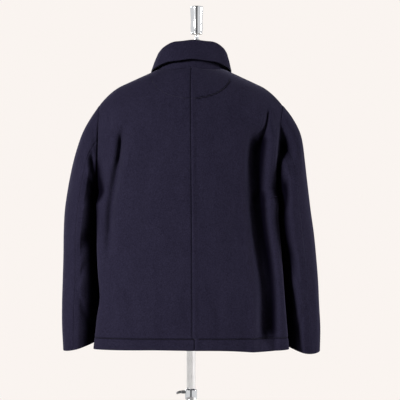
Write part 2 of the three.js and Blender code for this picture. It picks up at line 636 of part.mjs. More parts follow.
function collarGrid() {
  const grid = [];
  const steps = 4 * NECK_STEPS;
  for (let k = 0; k <= steps; k += 1) {
    const turn = -180 + (360 * k) / steps;
    const side = turn < 0 ? -1 : 1;
    const angle = Math.abs(turn);
    const face = angle <= 90 ? 'back' : 'front';
    const column = NECK_X * Math.abs(Math.sin(THREE.MathUtils.degToRad(angle)));
    const seam = bodyBase(face, side, Math.min(column, NECK_X), 2);
    const outward = vector(
      side * Math.sin(THREE.MathUtils.degToRad(angle)), Math.cos(THREE.MathUtils.degToRad(angle)), 0,
    );
    const sideways = vector(outward.y, -outward.x, 0).multiplyScalar(side);
    const value = (name) => read(COLLAR, 'angle', name, angle);
    grid.push(collarProfile(value).map(({ rise, out, leaf }) => {
      const point = seam.clone().addScaledVector(outward, out);
      point.addScaledVector(sideways, -value('edgeShift') * leaf);
      point.z += rise;
      if (angle === 180) point.add(vector(side * COLLAR_END_GAP, 0, COLLAR_END_LIFT));
      return point;
    }));
  }
  return grid;
}

// Points of a grid moved along its normals, which point to the folded collar's outer side.
function movedGrid(grid, distance) {
  const rows = grid.length;
  const columns = grid[0].length;
  return grid.map((row, j) => row.map((point, i) => {
    const across = grid[Math.min(rows - 1, j + 1)][i].clone().sub(grid[Math.max(0, j - 1)][i]);
    const along = row[Math.min(columns - 1, i + 1)].clone().sub(row[Math.max(0, i - 1)]);
    return point.clone().addScaledVector(along.cross(across).normalize(), distance);
  }));
}

function collar() {
  const grid = collarGrid();
  const gap = SEAM / 2;
  return [
    clothWall('collar_top', movedGrid(grid, gap + PLY), movedGrid(grid, gap)),
    clothWall('collar_under', movedGrid(grid, -gap), movedGrid(grid, -gap - PLY)),
  ];
}

// ---- buttons ----

function button(index, surface) {
  const height = blendValue(0.36, 1.86, index / (BUTTON_COUNT - 1));
  const place = surface.folded(0, height);
  const normal = surface.seamNormal(0, height, place);
  const profile = [
    [0, 0], [BUTTON_RADIUS - 1, 0], [BUTTON_RADIUS, 1], [BUTTON_RADIUS, BUTTON_THICKNESS - 1],
    [BUTTON_RADIUS - 1.2, BUTTON_THICKNESS], [BUTTON_RADIUS - 3, BUTTON_THICKNESS - 1], [0, BUTTON_THICKNESS - 1],
  ].map(([x, y]) => new THREE.Vector2(x, y));
  const mesh = meshOf(`button_${index + 1}`, turned(profile, 20), 'horn');
  mesh.quaternion.setFromUnitVectors(vector(0, 0, 1), normal);
  mesh.position.copy(leaned(place).addScaledVector(normal, SEAM + 0.1));
  const drift = BACK_SEAM_DRIFT * ease((SHOULDER_TOP_Z - place.z) / (SHOULDER_TOP_Z - HEM_Z));
  mesh.position.x += drift;
  return mesh;
}

// ---- turned pieces, about the Z axis ----

function turned(profile, steps = ROUND_STEPS) {
  const lathe = new THREE.LatheGeometry(profile, steps);
  lathe.rotateX(Math.PI / 2);
  lathe.deleteAttribute('normal');
  lathe.deleteAttribute('uv');
  const merged = mergeVertices(lathe, 1e-3);
  const position = merged.attributes.position;
  const points = Array.from({ length: position.count }, (_, k) => vector().fromBufferAttribute(position, k));
  const index = [...merged.index.array];
  const triangles = [];
  for (let k = 0; k < index.length; k += 3) {
    const [a, b, c] = index.slice(k, k + 3);
    if (a !== b && b !== c && c !== a) triangles.push([a, b, c]);
  }
  return geometryOf(points, triangles);
}

const profileOf = (...pairs) => pairs.map(([radius, z]) => new THREE.Vector2(radius, z));

// ---- the dress form ----

// The seat levels follow the coat's shoulders from just beneath the cloth.
function formLevels() {
  const beneath = WOOL * Math.hypot(1, SHOULDER_SLOPE) + FORM_SEAT_GAP;
  const seats = FORM_SEAT_LEVELS.map((level) => ({
    ...level, width: Math.sqrt(((SHOULDER_TOP_Z - beneath - level.z) / SHOULDER_SLOPE) ** 2 - NAPE_ROUND ** 2),
  }));
  return [...FORM_LEVELS, ...seats, ...FORM_NECK_LEVELS];
}

function formTrunk() {
  const levels = formLevels();
  const points = [];
  for (const level of levels) {
    for (let k = 0; k < ROUND_STEPS; k += 1) {
      const angle = (2 * Math.PI * k) / ROUND_STEPS;
      const [across, forward] = [Math.cos(angle), Math.sin(angle)];
      const power = forward < 0 ? level.power : 2;
      const x = level.width * Math.sign(across) * Math.abs(across) ** (2 / power);
      const reach = (forward < 0 ? level.front : level.back) * Math.sign(forward);
      points.push(leaned(vector(x, reach * Math.abs(forward) ** (2 / power), level.z)));
    }
  }
  const bottom = points.push(vector(0, 0, levels[0].z)) - 1;
  const summit = levels[levels.length - 1];
  const top = points.push(leaned(vector(0, (summit.back - summit.front) / 2, summit.z + 1.5))) - 1;
  const triangles = [];
  for (let j = 0; j < levels.length; j += 1) {
    for (let k = 0; k < ROUND_STEPS; k += 1) {
      const [here, next] = [j * ROUND_STEPS + k, j * ROUND_STEPS + ((k + 1) % ROUND_STEPS)];
      if (j === 0) triangles.push([bottom, next, here]);
      if (j === levels.length - 1) triangles.push([top, here, next]);
      else triangles.push([here, next, next + ROUND_STEPS], [here, next + ROUND_STEPS, here + ROUND_STEPS]);
    }
  }
  return meshOf('form_trunk', geometryOf(points, triangles), 'linen');
}

// The neck's seat, pin and turned knob, all one chromed piece.
function finial() {
  const profile = profileOf(
    [0, 0], [10, 0], [9, 3], [4.5, 5.5], [4.5, 14], [5, 17], [14, 18], [14.5, 20], [13.5, 22],
    [15, 26], [15.6, 34], [14.8, 48], [15.4, 66], [16.4, 82], [16.4, 86.5], [15, 88.5], [0, 89],
  );
  const mesh = meshOf('form_finial', turned(profile, 24), 'chrome');
  const summit = FORM_NECK_LEVELS.at(-1);
  mesh.position.set(-14.5, (summit.back - summit.front) / 2, summit.z + 1.9);
  return mesh;
}

// ---- the stand ----

function solidOf(geometry) {
  const plain = geometry.clone();
  plain.deleteAttribute('normal');
  plain.deleteAttribute('uv');
  const merged = mergeVertices(plain, 1e-3);
  return new wasm.Manifold(new wasm.Mesh({
    numProp: 3,
    vertProperties: new Float32Array(merged.attributes.position.array),
    triVerts: new Uint32Array(merged.index.array),
  }));
}

function geometryOfSolid(solid) {
  const mesh = solid.getMesh();
  const points = [];
  for (let k = 0; k < mesh.vertProperties.length; k += mesh.numProp) {
    points.push(vector(mesh.vertProperties[k], mesh.vertProperties[k + 1], mesh.vertProperties[k + 2]));
  }
  const triangles = [];
  for (let k = 0; k < mesh.triVerts.length; k += 3) {
    triangles.push([mesh.triVerts[k], mesh.triVerts[k + 1], mesh.triVerts[k + 2]]);
  }
  return geometryOf(points, triangles);
}

const LEVER = { x: 20.5, z: 612.5, length: 16, thick: 6, half: 4, pin: 1.6, ear: 3.6 };

function standBase() {
  const radius = BASE_RADIUS;
  return meshOf('stand_base', turned(profileOf(
    [0, 0], [radius - 2, 0], [radius, 2], [radius, BASE_THICKNESS - 3], [radius - 3, BASE_THICKNESS],
    [26, BASE_THICKNESS], [22, BASE_THICKNESS + 14], [0, BASE_THICKNESS + 14],
  ), 40), 'enamel');
}

function standTube() {
  const bore = POLE_RADIUS + BORE_GAP;
  const bottom = BASE_THICKNESS + 14 + SEAM;
  return meshOf('stand_tube', turned(profileOf(
    [bore, bottom + 4], [bore, TUBE_TOP_Z], [TUBE_RADIUS, TUBE_TOP_Z], [TUBE_RADIUS, bottom], [0, bottom],
    [0, bottom + 4], [bore, bottom + 4],
  )), 'chrome');
}

function standPole() {
  const top = FORM_BOTTOM_Z - SEAM;
  return meshOf('stand_pole', turned(profileOf(
    [0, 300], [POLE_RADIUS, 300], [POLE_RADIUS, top - 8], [42, top - 6], [42, top], [0, top],
  )), 'chrome');
}

function standClamp() {
  const bore = POLE_RADIUS + BORE_GAP;
  const bottom = TUBE_TOP_Z + SEAM;
  let solid = solidOf(turned(profileOf(
    [bore, bottom], [bore, CLAMP_TOP_Z], [CLAMP_RADIUS, CLAMP_TOP_Z], [CLAMP_RADIUS, bottom], [bore, bottom],
  )));
  const reach = LEVER.x + LEVER.ear - (CLAMP_RADIUS - 1.5);
  for (const side of [-1, 1]) {
    const ear = new THREE.BoxGeometry(reach, 3, 2 * LEVER.ear);
    ear.translate(CLAMP_RADIUS - 1.5 + reach / 2, side * (LEVER.half + BORE_GAP + 1.5), LEVER.z);
    solid = solid.add(solidOf(ear));
  }
  const pin = new THREE.CylinderGeometry(LEVER.pin, LEVER.pin, 2 * LEVER.half + 4, 16);
  pin.translate(LEVER.x, 0, LEVER.z);
  solid = solid.add(solidOf(pin));
  return meshOf('stand_clamp', geometryOfSolid(solid), 'chrome');
}

// A short cam lever on the clamp's pin, a little bent downwards.
function clampLever() {
  const { x, z, length, thick } = LEVER;
  const radius = thick / 2 + 0.4;
  const outline = new THREE.Shape();
  outline.absarc(0, 0, radius, Math.PI * 0.38, Math.PI * 1.62, false);
  outline.quadraticCurveTo(length * 0.6, -radius, length, -radius - 2.5);
  outline.lineTo(length + 1.2, -radius + 2.2);
  outline.quadraticCurveTo(length * 0.55, radius + 0.5, radius * Math.cos(Math.PI * 0.38), radius);
  const bore = new THREE.Path();
  bore.absarc(0, 0, LEVER.pin + BORE_GAP, 0, Math.PI * 2, true);
  outline.holes.push(bore);
  const geometry = new THREE.ExtrudeGeometry(outline, {
    depth: 2 * LEVER.half, bevelEnabled: false, curveSegments: 8,
  });
  geometry.rotateX(Math.PI / 2);
  geometry.translate(x, LEVER.half, z);
  return meshOf('clamp_lever', geometryOfSolid(solidOf(geometry)), 'chrome');
}

// ---- everything together ----

const group = new THREE.Group();
const panels = {};
for (const side of [1, -1]) {
  for (const face of ['back', 'front']) {
    const outside = face === 'back' && side < 0 ? FOLDED_COLUMNS : PLAIN_COLUMNS;
    const columns = [...neckColumns(), ...outside];
    if (face === 'front') columns.unshift(-LAP_X);
    const panel = bodyPanel(face, side, columns);
    panels[`${face}${side}`] = panel;
    group.add(clothWall(`coat_${face}_${sideName(side)}`, panel.outer, panel.inner, face === 'front'));
  }
  const loop = armholeLoop(panels[`back${side}`], panels[`front${side}`]);
  const tube = sleeveTube(side, loop);
  const frontSeam = loop.length - FRONT_SEAM_ROW;
  group.add(sleevePiece(`sleeve_${sideName(side)}_under`, tube, frontSeam, BACK_SEAM_ROW));
  group.add(sleevePiece(`sleeve_${sideName(side)}_top`, tube, BACK_SEAM_ROW, frontSeam));
}
group.add(...collar());
const leftFront = bodySurface('front', 1);
for (let index = 0; index < BUTTON_COUNT; index += 1) group.add(button(index, leftFront));
group.add(formTrunk(), finial());
group.add(standBase(), standTube(), standPole(), standClamp(), clampLever());

export default group;
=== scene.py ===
# %% [markdown]
# # A wool short coat on its dress form
# The coat is cut from melton, a thick felted wool. Its back, fronts, sleeves and collar are separate pieces of
# cloth, and each is made here as its own thin shell, from the sizes that a tailor would chalk on it. Sizes in the
# tables are millimetres. Meshes are in metres, as Blender expects.

# %% Tools, frame and boxes
import math
import bpy
import numpy as np
from mathutils import Matrix, Vector
from mathutils.bvhtree import BVHTree


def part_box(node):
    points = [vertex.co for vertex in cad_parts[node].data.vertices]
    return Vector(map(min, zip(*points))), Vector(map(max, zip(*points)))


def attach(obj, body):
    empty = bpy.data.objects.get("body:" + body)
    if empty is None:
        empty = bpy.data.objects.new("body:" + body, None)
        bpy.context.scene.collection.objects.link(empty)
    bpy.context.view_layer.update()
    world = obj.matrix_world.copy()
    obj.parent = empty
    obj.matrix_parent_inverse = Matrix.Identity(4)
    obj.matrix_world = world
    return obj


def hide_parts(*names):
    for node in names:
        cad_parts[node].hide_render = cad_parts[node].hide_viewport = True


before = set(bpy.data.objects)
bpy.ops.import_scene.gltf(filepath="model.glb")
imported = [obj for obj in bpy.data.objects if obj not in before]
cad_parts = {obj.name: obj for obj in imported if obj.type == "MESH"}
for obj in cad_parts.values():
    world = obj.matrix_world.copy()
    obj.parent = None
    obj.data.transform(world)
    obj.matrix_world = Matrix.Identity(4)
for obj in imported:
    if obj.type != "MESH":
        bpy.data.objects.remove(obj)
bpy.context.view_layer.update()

# %% [markdown]
# ## Camera, floor and light
# A long lens from far away keeps the coat's outline nearly free of perspective. The camera is level with the
# middle of the back. Three soft lights stand around: the key on the camera's side, high at the wearer's left, one at
# the wearer's right and one in front.

# %% Camera
LENS_LENGTH, SENSOR_WIDTH = 158.8, 36
CAMERA_PLACE = (-0.023, 4.5, 1.102)
camera_data = bpy.data.cameras.new("camera")
camera_data.lens = LENS_LENGTH
camera_data.sensor_width = SENSOR_WIDTH
camera = bpy.data.objects.new("camera", camera_data)
camera.location = CAMERA_PLACE
camera.rotation_euler = (math.pi / 2, 0, math.pi)
bpy.context.collection.objects.link(camera)
bpy.context.scene.camera = camera
print("camera is", round(camera.location.y, 2), "m behind the coat")


# %% Soft lights
LIGHTS = [
    # name, place, aim, size in metres, watts, spread in degrees
    ("key_light", (3.0, 3.3, 2.3), (0.17, 0.1, 1.0), 0.8, 18, 40),
    ("edge_light", (-3.7, -0.2, 1.6), (0, 0, 1.1), 1.0, 170, 180),
    ("front_light", (1.8, -3.4, 3.0), (0, 0, 1.1), 1.6, 160, 180),
]


def soft_light(name, place, aim, size, watts, spread):
    data = bpy.data.lights.new(name, "AREA")
    data.spread = math.radians(spread)
    data.shape = "DISK"
    data.size = size
    data.energy = watts
    light = bpy.data.objects.new(name, data)
    light.location = place
    light.rotation_euler = (Vector(aim) - Vector(place)).to_track_quat("-Z", "Y").to_euler()
    bpy.context.collection.objects.link(light)


for row in LIGHTS:
    soft_light(*row)

# %% [markdown]
# ## Shader arithmetic
# A material is a small calculation over the surface. Writing it as Python expressions is easier to read than
# wiring nodes by hand, so one class wraps an output socket, and the usual signs add Math nodes.


# %% A socket to reckon with
class Signal:
    """One output socket of a node tree."""

    def __init__(self, tree, socket=None):
        self.tree = tree
        self.socket = socket

    def node(self, kind, settings=(), sockets=(), output=0):
        """Adds a node: its settings first, then the values or links of its sockets."""
        made = self.tree.nodes.new(kind)
        for key, value in dict(settings).items():
            if key == "stops":
                elements = made.color_ramp.elements
                for index, (place, colour) in enumerate(value):
                    element = elements[index] if index < len(elements) else elements.new(place)
                    element.position = place
                    element.color = colour
            else:
                setattr(made, key, value)
        for key, value in dict(sockets).items():
            if isinstance(value, Signal):
                self.tree.links.new(value.socket, made.inputs[key])
            else:
                made.inputs[key].default_value = value
        return Signal(self.tree, made.outputs[output] if made.outputs else None)

    def maths(self, operation, first, second=0.0):
        return self.node("ShaderNodeMath", {"operation": operation}, {0: first, 1: second})

    def __add__(self, other):
        return self.maths("ADD", self, other)

    def __radd__(self, other):
        return self.maths("ADD", other, self)

    def __sub__(self, other):
        return self.maths("SUBTRACT", self, other)

    def __rsub__(self, other):
        return self.maths("SUBTRACT", other, self)

    def __mul__(self, other):
        return self.maths("MULTIPLY", self, other)

    def __rmul__(self, other):
        return self.maths("MULTIPLY", other, self)

    def step(self, low, high):
        """0 below low, 1 above high and smooth between them."""
        return self.node("ShaderNodeMapRange", {"interpolation_type": "SMOOTHSTEP"},
                         {"Value": self, "From Min": low, "From Max": high})


def noise(signal, place, scale, detail=3.0, roughness=0.55):
    return signal.node("ShaderNodeTexNoise", {"noise_dimensions": "3D"},
                       {"Vector": place, "Scale": scale, "Detail": detail, "Roughness": roughness})


def stretched(signal, x, y, z):
    """Object coordinates, stretched along the axes."""
    place = signal.node("ShaderNodeTexCoord", output="Object")
    return signal.node("ShaderNodeMapping", {"vector_type": "POINT"}, {"Vector": place, "Scale": (x, y, z)})


def mixed(factor, first, second):
    """One colour turning into another."""
    return factor.node("ShaderNodeMix", {"data_type": "RGBA"}, {0: factor, 6: first, 7: second}, output=2)


def new_material(name):
    material = bpy.data.materials.new(name)
    material.use_nodes = True
    material.node_tree.nodes.clear()
    return material, Signal(material.node_tree)


def finished(material, signal, **sockets):
    """Ends the material with a Principled shader and its fixed or varying sockets."""
    names = {key.replace("_", " "): value for key, value in sockets.items()}
    shader = signal.node("ShaderNodeBsdfPrincipled", {}, names)
    signal.node("ShaderNodeOutputMaterial", {}, {"Surface": shader})
    return material


def raised(signal, height, distance, strength=1.0):
    return signal.node("ShaderNodeBump", {}, {"Height": height, "Distance": distance, "Strength": strength})


# %% [markdown]
# ## The pale surround
# The surround is full for the camera and weak as light on the cloth, so that the folds keep their depth. What the
# chrome mirrors is brightest at the sides, with a darker band before and behind.

# %% Surround
SURROUND_COLOUR = (0.956, 0.905, 0.871, 1)
LIGHT_STRENGTH, CAMERA_STRENGTH = 0.07, 1.0
MIRROR_BAND = {"From Min": 0.24, "From Max": 0.34, "To Min": 0.16, "To Max": 1.0}
world = bpy.data.worlds.new("surround")
bpy.context.scene.world = world
world.use_nodes = True
world.node_tree.nodes.clear()
sky = Signal(world.node_tree)
glows = [sky.node("ShaderNodeBackground", {}, {"Color": SURROUND_COLOUR, "Strength": strength})
         for strength in (LIGHT_STRENGTH, CAMERA_STRENGTH)]
by_camera, by_mirror = (sky.node("ShaderNodeLightPath", output=f"Is {kind} Ray") for kind in ("Camera", "Glossy"))
lit = sky.node("ShaderNodeMixShader", {}, {0: by_camera, 1: glows[0], 2: glows[1]})
sideways = sky.node("ShaderNodeSeparateXYZ", {}, {0: sky.node("ShaderNodeTexCoord", output="Generated")}, output="X")
band = sky.node("ShaderNodeMapRange", {"interpolation_type": "SMOOTHSTEP"},
                {"Value": sky.maths("ABSOLUTE", sideways), **MIRROR_BAND})
mirrored = sky.node("ShaderNodeBackground", {}, {"Strength": band})
both = sky.node("ShaderNodeMixShader", {}, {0: by_mirror, 1: lit, 2: mirrored})
sky.node("ShaderNodeOutputWorld", {}, {"Surface": both})
bpy.context.scene.view_settings.view_transform = "Standard"
print("surround ready")

# %% [markdown]
# ## Melton, thread and the hard finishes
# Melton is woven, then felted and shorn until no weave shows. What is left is a short nap: flecks of a slightly
# lighter fibre over deep navy, soft clouds where the nap lies another way, and a little velvet at grazing angles.
# Three scales of noise give these, and the two finer ones also drive the bump. Deep in a fold and in the dip of a
# stitched row, shade is painted in: a second shader, nearly black, takes over by the attribute that holds that shade.


# %% Melton wool
def melton(name, dark, light):
    material, s = new_material(name)
    fibre = noise(s, stretched(s, 1, 1, 0.35), 1400, 2)
    felt = noise(s, stretched(s, 1, 1, 0.8), 420, 4, 0.6)
    cloud = noise(s, stretched(s, 1, 1, 0.5), 28, 3)
    nap = fibre.step(0.35, 0.75) * 0.45 + felt.step(0.3, 0.7) * 0.45 + cloud.step(0.25, 0.75) * 0.12
    # Painted shade: how far the nearly black shader takes over, in deep folds and in stitched dips.
    painted_shade = s.node("ShaderNodeAttribute", {"attribute_type": "GEOMETRY", "attribute_name": "painted_shade"}, output=2)
    bump = raised(s, fibre * 0.5 + felt, 0.0006)
    open_nap = s.node("ShaderNodeBsdfPrincipled", {}, {
        "Base Color": mixed(nap, dark, light), "Roughness": 0.92 - nap * 0.1, "Specular IOR Level": 0.0,
        "Sheen Weight": 0.13, "Sheen Roughness": 0.4, "Sheen Tint": (0.62, 0.6, 0.86, 1), "Normal": bump,
    })
    # Painted shade: a nearly black wool without sheen, for the bottoms of folds.
    painted_shade_wool = s.node("ShaderNodeBsdfPrincipled", {}, {
        "Base Color": (0.0011, 0.0008, 0.0026, 1), "Roughness": 0.95, "Specular IOR Level": 0.0, "Normal": bump,
    })
    both = s.node("ShaderNodeMixShader", {}, {0: painted_shade, 1: open_nap, 2: painted_shade_wool})
    s.node("ShaderNodeOutputMaterial", {}, {"Surface": both})
    return material


WOOL_NAVY = melton("melton_navy", (0.0066, 0.0057, 0.0125, 1), (0.0238, 0.0213, 0.0415, 1))
print("melton ready")


# %% Thread, horn and linen
def thread(name, colour):
    material, s = new_material(name)
    twist = s.node("ShaderNodeTexWave", {"wave_type": "BANDS", "bands_direction": "DIAGONAL"},
                   {"Vector": stretched(s, 1, 1, 1), "Scale": 900.0, "Distortion": 1.0}, output=1)
    tone = mixed(twist, tuple(0.6 * c for c in colour) + (1,), tuple(colour) + (1,))
    return finished(material, s, Base_Color=tone, Roughness=0.7, Normal=raised(s, twist, 0.0001))


def horn(name):
    material, s = new_material(name)
    streak = noise(s, stretched(s, 1, 1, 6), 90, 4, 0.6)
    colour = mixed(streak.step(0.35, 0.75), (0.006, 0.005, 0.007, 1), (0.032, 0.026, 0.026, 1))
    return finished(material, s, Base_Color=colour, Roughness=0.28 + streak * 0.2, Coat_Weight=0.25,
                    Coat_Roughness=0.2, Normal=raised(s, streak, 0.00008))


def linen(name):
    material, s = new_material(name)
    place = stretched(s, 1, 1, 1)
    size = {"Vector": place, "Scale": 260.0, "Distortion": 0.6}
    warp = s.node("ShaderNodeTexWave", {"bands_direction": "X"}, size, output=1)
    weft = s.node("ShaderNodeTexWave", {"bands_direction": "Z"}, size, output=1)
    slub = noise(s, stretched(s, 1, 1, 0.1), 220, 3)
    weave = warp * 0.5 + weft * 0.5
    colour = mixed(weave * 0.5 + slub * 0.5, (0.40, 0.34, 0.26, 1), (0.70, 0.63, 0.52, 1))
    return finished(material, s, Base_Color=colour, Roughness=0.86 + slub * 0.1, Sheen_Weight=0.1,
                    Normal=raised(s, weave + slub * 0.4, 0.0003))


THREAD_NAVY = thread("thread_navy", (0.010, 0.009, 0.018))
HORN = horn("horn_dark")
LINEN = linen("linen_cover")
print("soft finishes:", [m.name for m in (THREAD_NAVY, HORN, LINEN)])


# %% Chrome and enamel
def chrome(name):
    material, s = new_material(name)
    haze = noise(s, stretched(s, 1, 1, 1), 45, 4, 0.6)
    scratch = noise(s, stretched(s, 1, 1, 0.02), 900, 2)
    colour = mixed(haze.step(0.4, 0.8), (0.78, 0.79, 0.81, 1), (0.66, 0.67, 0.70, 1))
    return finished(material, s, Base_Color=colour, Metallic=1.0, Roughness=0.05 + haze * 0.05 + scratch * 0.04,
                    Normal=raised(s, scratch, 0.00002))


def enamel(name):
    material, s = new_material(name)
    peel = noise(s, stretched(s, 1, 1, 1), 160, 2)
    dust = noise(s, stretched(s, 1, 1, 3), 22, 4, 0.65)
    colour = mixed(dust.step(0.45, 0.8), (0.014, 0.014, 0.015, 1), (0.035, 0.035, 0.036, 1))
    return finished(material, s, Base_Color=colour, Roughness=0.32 + dust * 0.2, Coat_Weight=0.3,
                    Coat_Roughness=0.15, Normal=raised(s, peel, 0.00006))


CHROME = chrome("chrome_plate")
ENAMEL = enamel("enamel_black")
print("hard finishes:", CHROME.name, ENAMEL.name)

# %% [markdown]
# ## Reading a tailor's tables
# Every line of the coat is a smooth curve through a short table: a row for each height or station and a named
# column for each size. `read` draws that curve for whole arrays at once, so a panel of twenty thousand points is
# worked out in a moment.


# %% Tables and curves
def table(names, *rows):
    return dict(zip(names.split(), np.array(rows, float).T))


def read(rows, column, value):
    """The smooth curve through one column, at values of the table's first column."""
    place, size = next(iter(rows.values())), rows[column]
    if place[0] > place[-1]:
        place, size = place[::-1], size[::-1]
    slope = np.gradient(size, place, edge_order=1)
    slope[1:-1] = (size[2:] - size[:-2]) / (place[2:] - place[:-2])
    value = np.clip(value, place[0], place[-1])
    index = np.clip(np.searchsorted(place, value, side="right") - 1, 0, len(place) - 2)
    span = place[index + 1] - place[index]
    t = (value - place[index]) / span
    return ((2 * t**3 - 3 * t**2 + 1) * size[index] + (t**3 - 2 * t**2 + t) * span * slope[index]
            + (3 * t**2 - 2 * t**3) * size[index + 1] + (t**3 - t**2) * span * slope[index + 1])


def ease(value):
    share = np.clip(value, 0, 1)
    return share * share * (3 - 2 * share)


def between(a, b, share):
    return a + (b - a) * share


def unit(vectors):
    return vectors / np.maximum(np.linalg.norm(vectors, axis=-1, keepdims=True), 1e-9)


def bell(distance, width):
    return np.exp(-(distance / width) ** 2)


def squared_round(value, power):
    """A sine or cosine drawn out into the rounded square of a superellipse."""
    return np.sign(value) * np.abs(value) ** (2 / power)


def sizes_at(rows, value):
    return {key: read(rows, key, np.array(value)) for key in rows}


# %% [markdown]
# ## Grids become shells
# A piece of cloth is two grids of points: its outer face and its inner face, 2.5 mm apart. The shell joins them and
# closes the four edges. A turned edge is rounded, as melton is where it is folded under. A sewn edge sinks a little,
# because the stitches pull it down, and swells beside that.

# %% Grids and shells
WOOL = 2.5
PLY = 1.5
SEAM = 0.3
LEAN_Z, LEAN = 1380, 0.00047


def leaned(points):
    """The neck leans a little to the wearer's right."""
    points = points.copy()
    points[..., 0] -= LEAN * np.maximum(0, points[..., 2] - LEAN_Z) ** 2
    return points


def normals_of(grid):
    return unit(np.cross(np.gradient(grid, axis=1), np.gradient(grid, axis=0)))


def reach_from(grid, edge):
    """How far each point is from one edge of the grid, along the cloth."""
    axis = 1 if edge in ("start", "end") else 0
    steps = np.linalg.norm(np.diff(grid, axis=axis), axis=-1)
    pad = np.zeros((grid.shape[0], 1)) if axis == 1 else np.zeros((1, grid.shape[1]))
    run = np.concatenate([pad, np.cumsum(steps, axis=axis)], axis=axis)
    if edge in ("start", "bottom"):
        return run
    return (run[:, -1:] if axis == 1 else run[-1:, :]) - run


def worked_edges(outer, inner, edges, thick):
    """Rounds the turned edges and sinks the sewn ones."""
    through = unit(outer - inner)
    both = np.zeros(outer.shape[:2])
    top = np.zeros(outer.shape[:2])
    for edge, kind in edges.items():
        away = reach_from(outer, edge)
        if kind == "turned":
            near = 0.95 * np.clip(1 - away / (thick / 2), 0, 1)
            both = np.maximum(both, thick / 2 * (1 - np.sqrt(1 - near**2)))
        elif kind == "sewn":
            top += 0.8 * bell(away, 1.9) - 0.3 * bell(away - 6.5, 4)
        elif kind == "pressed":
            top += 0.35 * bell(away, 1.5)
        elif kind == "deep":
            top += 1.5 * bell(away, 1.5) - 0.3 * bell(away - 6.5, 4)
    both, top = both[..., None], top[..., None]
    return outer - through * (both + top * (1 - both / thick)), inner + through * both


def shell(name, outer, inner, edges, thick=WOOL, material=WOOL_NAVY, shade=0.0):
    """A closed shell. The painted shade of its outer face is kept in a point attribute that the wool reads."""
    outer, inner = worked_edges(outer, inner, edges, thick)
    rows, columns = outer.shape[:2]
    points = leaned(np.concatenate([outer.reshape(-1, 3), inner.reshape(-1, 3)])) / 1000
    at = np.arange(rows * columns).reshape(rows, columns)
    under = at + rows * columns

    def strip(a, b, c, d):
        return np.stack([a, b, c, d], axis=-1).reshape(-1, 4)

    faces = np.concatenate([
        strip(at[:-1, :-1], at[:-1, 1:], at[1:, 1:], at[1:, :-1]),
        strip(under[:-1, :-1], under[1:, :-1], under[1:, 1:], under[:-1, 1:]),
        strip(at[0, :-1], under[0, :-1], under[0, 1:], at[0, 1:]),
        strip(at[-1, :-1], at[-1, 1:], under[-1, 1:], under[-1, :-1]),
        strip(at[:-1, 0], at[1:, 0], under[1:, 0], under[:-1, 0]),
        strip(at[:-1, -1], under[:-1, -1], under[1:, -1], at[1:, -1]),
    ])
    a, b, c, d = (points[faces[:, k]] for k in range(4))
    volume = np.sum(np.cross(b - a, c - a) * a) + np.sum(np.cross(c - a, d - a) * a)
    if volume < 0:
        faces = faces[:, ::-1]
    made = mesh_object(name, points, faces, material)
    # Painted shade: the outer face is darkened by this share, the inner face not at all.
    values = np.zeros(len(points))
    values[:rows * columns] = np.broadcast_to(shade, (rows, columns)).ravel()
    made.data.attributes.new("painted_shade", "FLOAT", "POINT").data.foreach_set("value", values)
    return made


def placed(name, mesh):
    made = bpy.data.objects.new(name, mesh)
    bpy.context.collection.objects.link(made)
    return made


def mesh_object(name, points, faces, material):
    mesh = bpy.data.meshes.new(name)
    mesh.from_pydata([tuple(p) for p in points], [], [tuple(int(k) for k in f) for f in faces])
    mesh.materials.append(material)
    mesh.shade_smooth()
    return placed(name, mesh)


def made_plain(piece):
    """Works the piece's modifiers into a plain mesh."""
    graph = bpy.context.evaluated_depsgraph_get()
    mesh = bpy.data.meshes.new_from_object(piece.evaluated_get(graph), depsgraph=graph)
    piece.modifiers.clear()
    piece.data = mesh
    return mesh


def spaced(start, stop, step, first=(0,), last=(0,)):
    """Even places from start to stop, with close ones at either end."""
    low, high = start + max(first), stop - max(last)
    middle = np.linspace(low, high, max(2, round((high - low) / step) + 1))
    return np.unique(np.concatenate([start + np.array(first), middle, stop - np.array(last)]))


# %% [markdown]
# ## The coat's body
# The body is a tube with the cross-section of a rounded rectangle. Above the underarm it closes over the shoulders.
# A column of the grid is named by its distance from the middle along the shoulder. A height of 0 is the hem, 1 the
# underarm and 2 the shoulder or neck seam.

# %% Body sizes
HEM_Z, UNDERARM_Z, SHOULDER_POINT_Z = 727, 1105, 1345
SHOULDER_X, NECK_X, LAP_X = 232, 88, 27.2
SHOULDER_TOP_Z, SHOULDER_SLOPE, SHOULDER_ROLL = 1474, 0.46, 14
SLOPE_STEEPENS_X, STEEPENING = 175, 0.00686
ARMHOLE_TURN, ARMHOLE_TURN_SHARE = 24, 0.45
ROUNDNESS = 2.6
BODY_WIDTHS = table(
    "z left right",
    (730, 246, 247), (790, 239, 241), (860, 233, 234), (980, 237, 225), (1105, 237, 217), (1220, 235, 221),
    (1345, 232, 232),
)
BODY_DEPTHS = table(
    "z back front", (730, 121, 127), (860, 116, 122), (1000, 114, 121), (1105, 120, 124), (1345, 122, 124),
)
FACES = {
    "back": {"sign": 1, "cap_power": 2.4, "neck_depth": 62, "ridge": 22},
    "front": {"sign": -1, "cap_power": 1.9, "neck_depth": 88, "ridge": 11},
}
SIDE_NAMES = {1: "left", -1: "right"}


def shoulder_line(x):
    x = np.hypot(x, SHOULDER_ROLL)
    return SHOULDER_TOP_Z - SHOULDER_SLOPE * x - STEEPENING * np.maximum(0, x - SLOPE_STEEPENS_X) ** 2


def armhole_angle(cap):
    """Where the body ends beside the sleeve, as an angle of its section."""
    return math.pi / 2 - math.radians(ARMHOLE_TURN) * (1 - (1 - np.minimum(1, cap / ARMHOLE_TURN_SHARE)) ** 2)


def angle_of(x, half, edge):
    return np.arcsin(np.minimum(1, (x / half) ** (ROUNDNESS / 2) * np.sin(edge)))


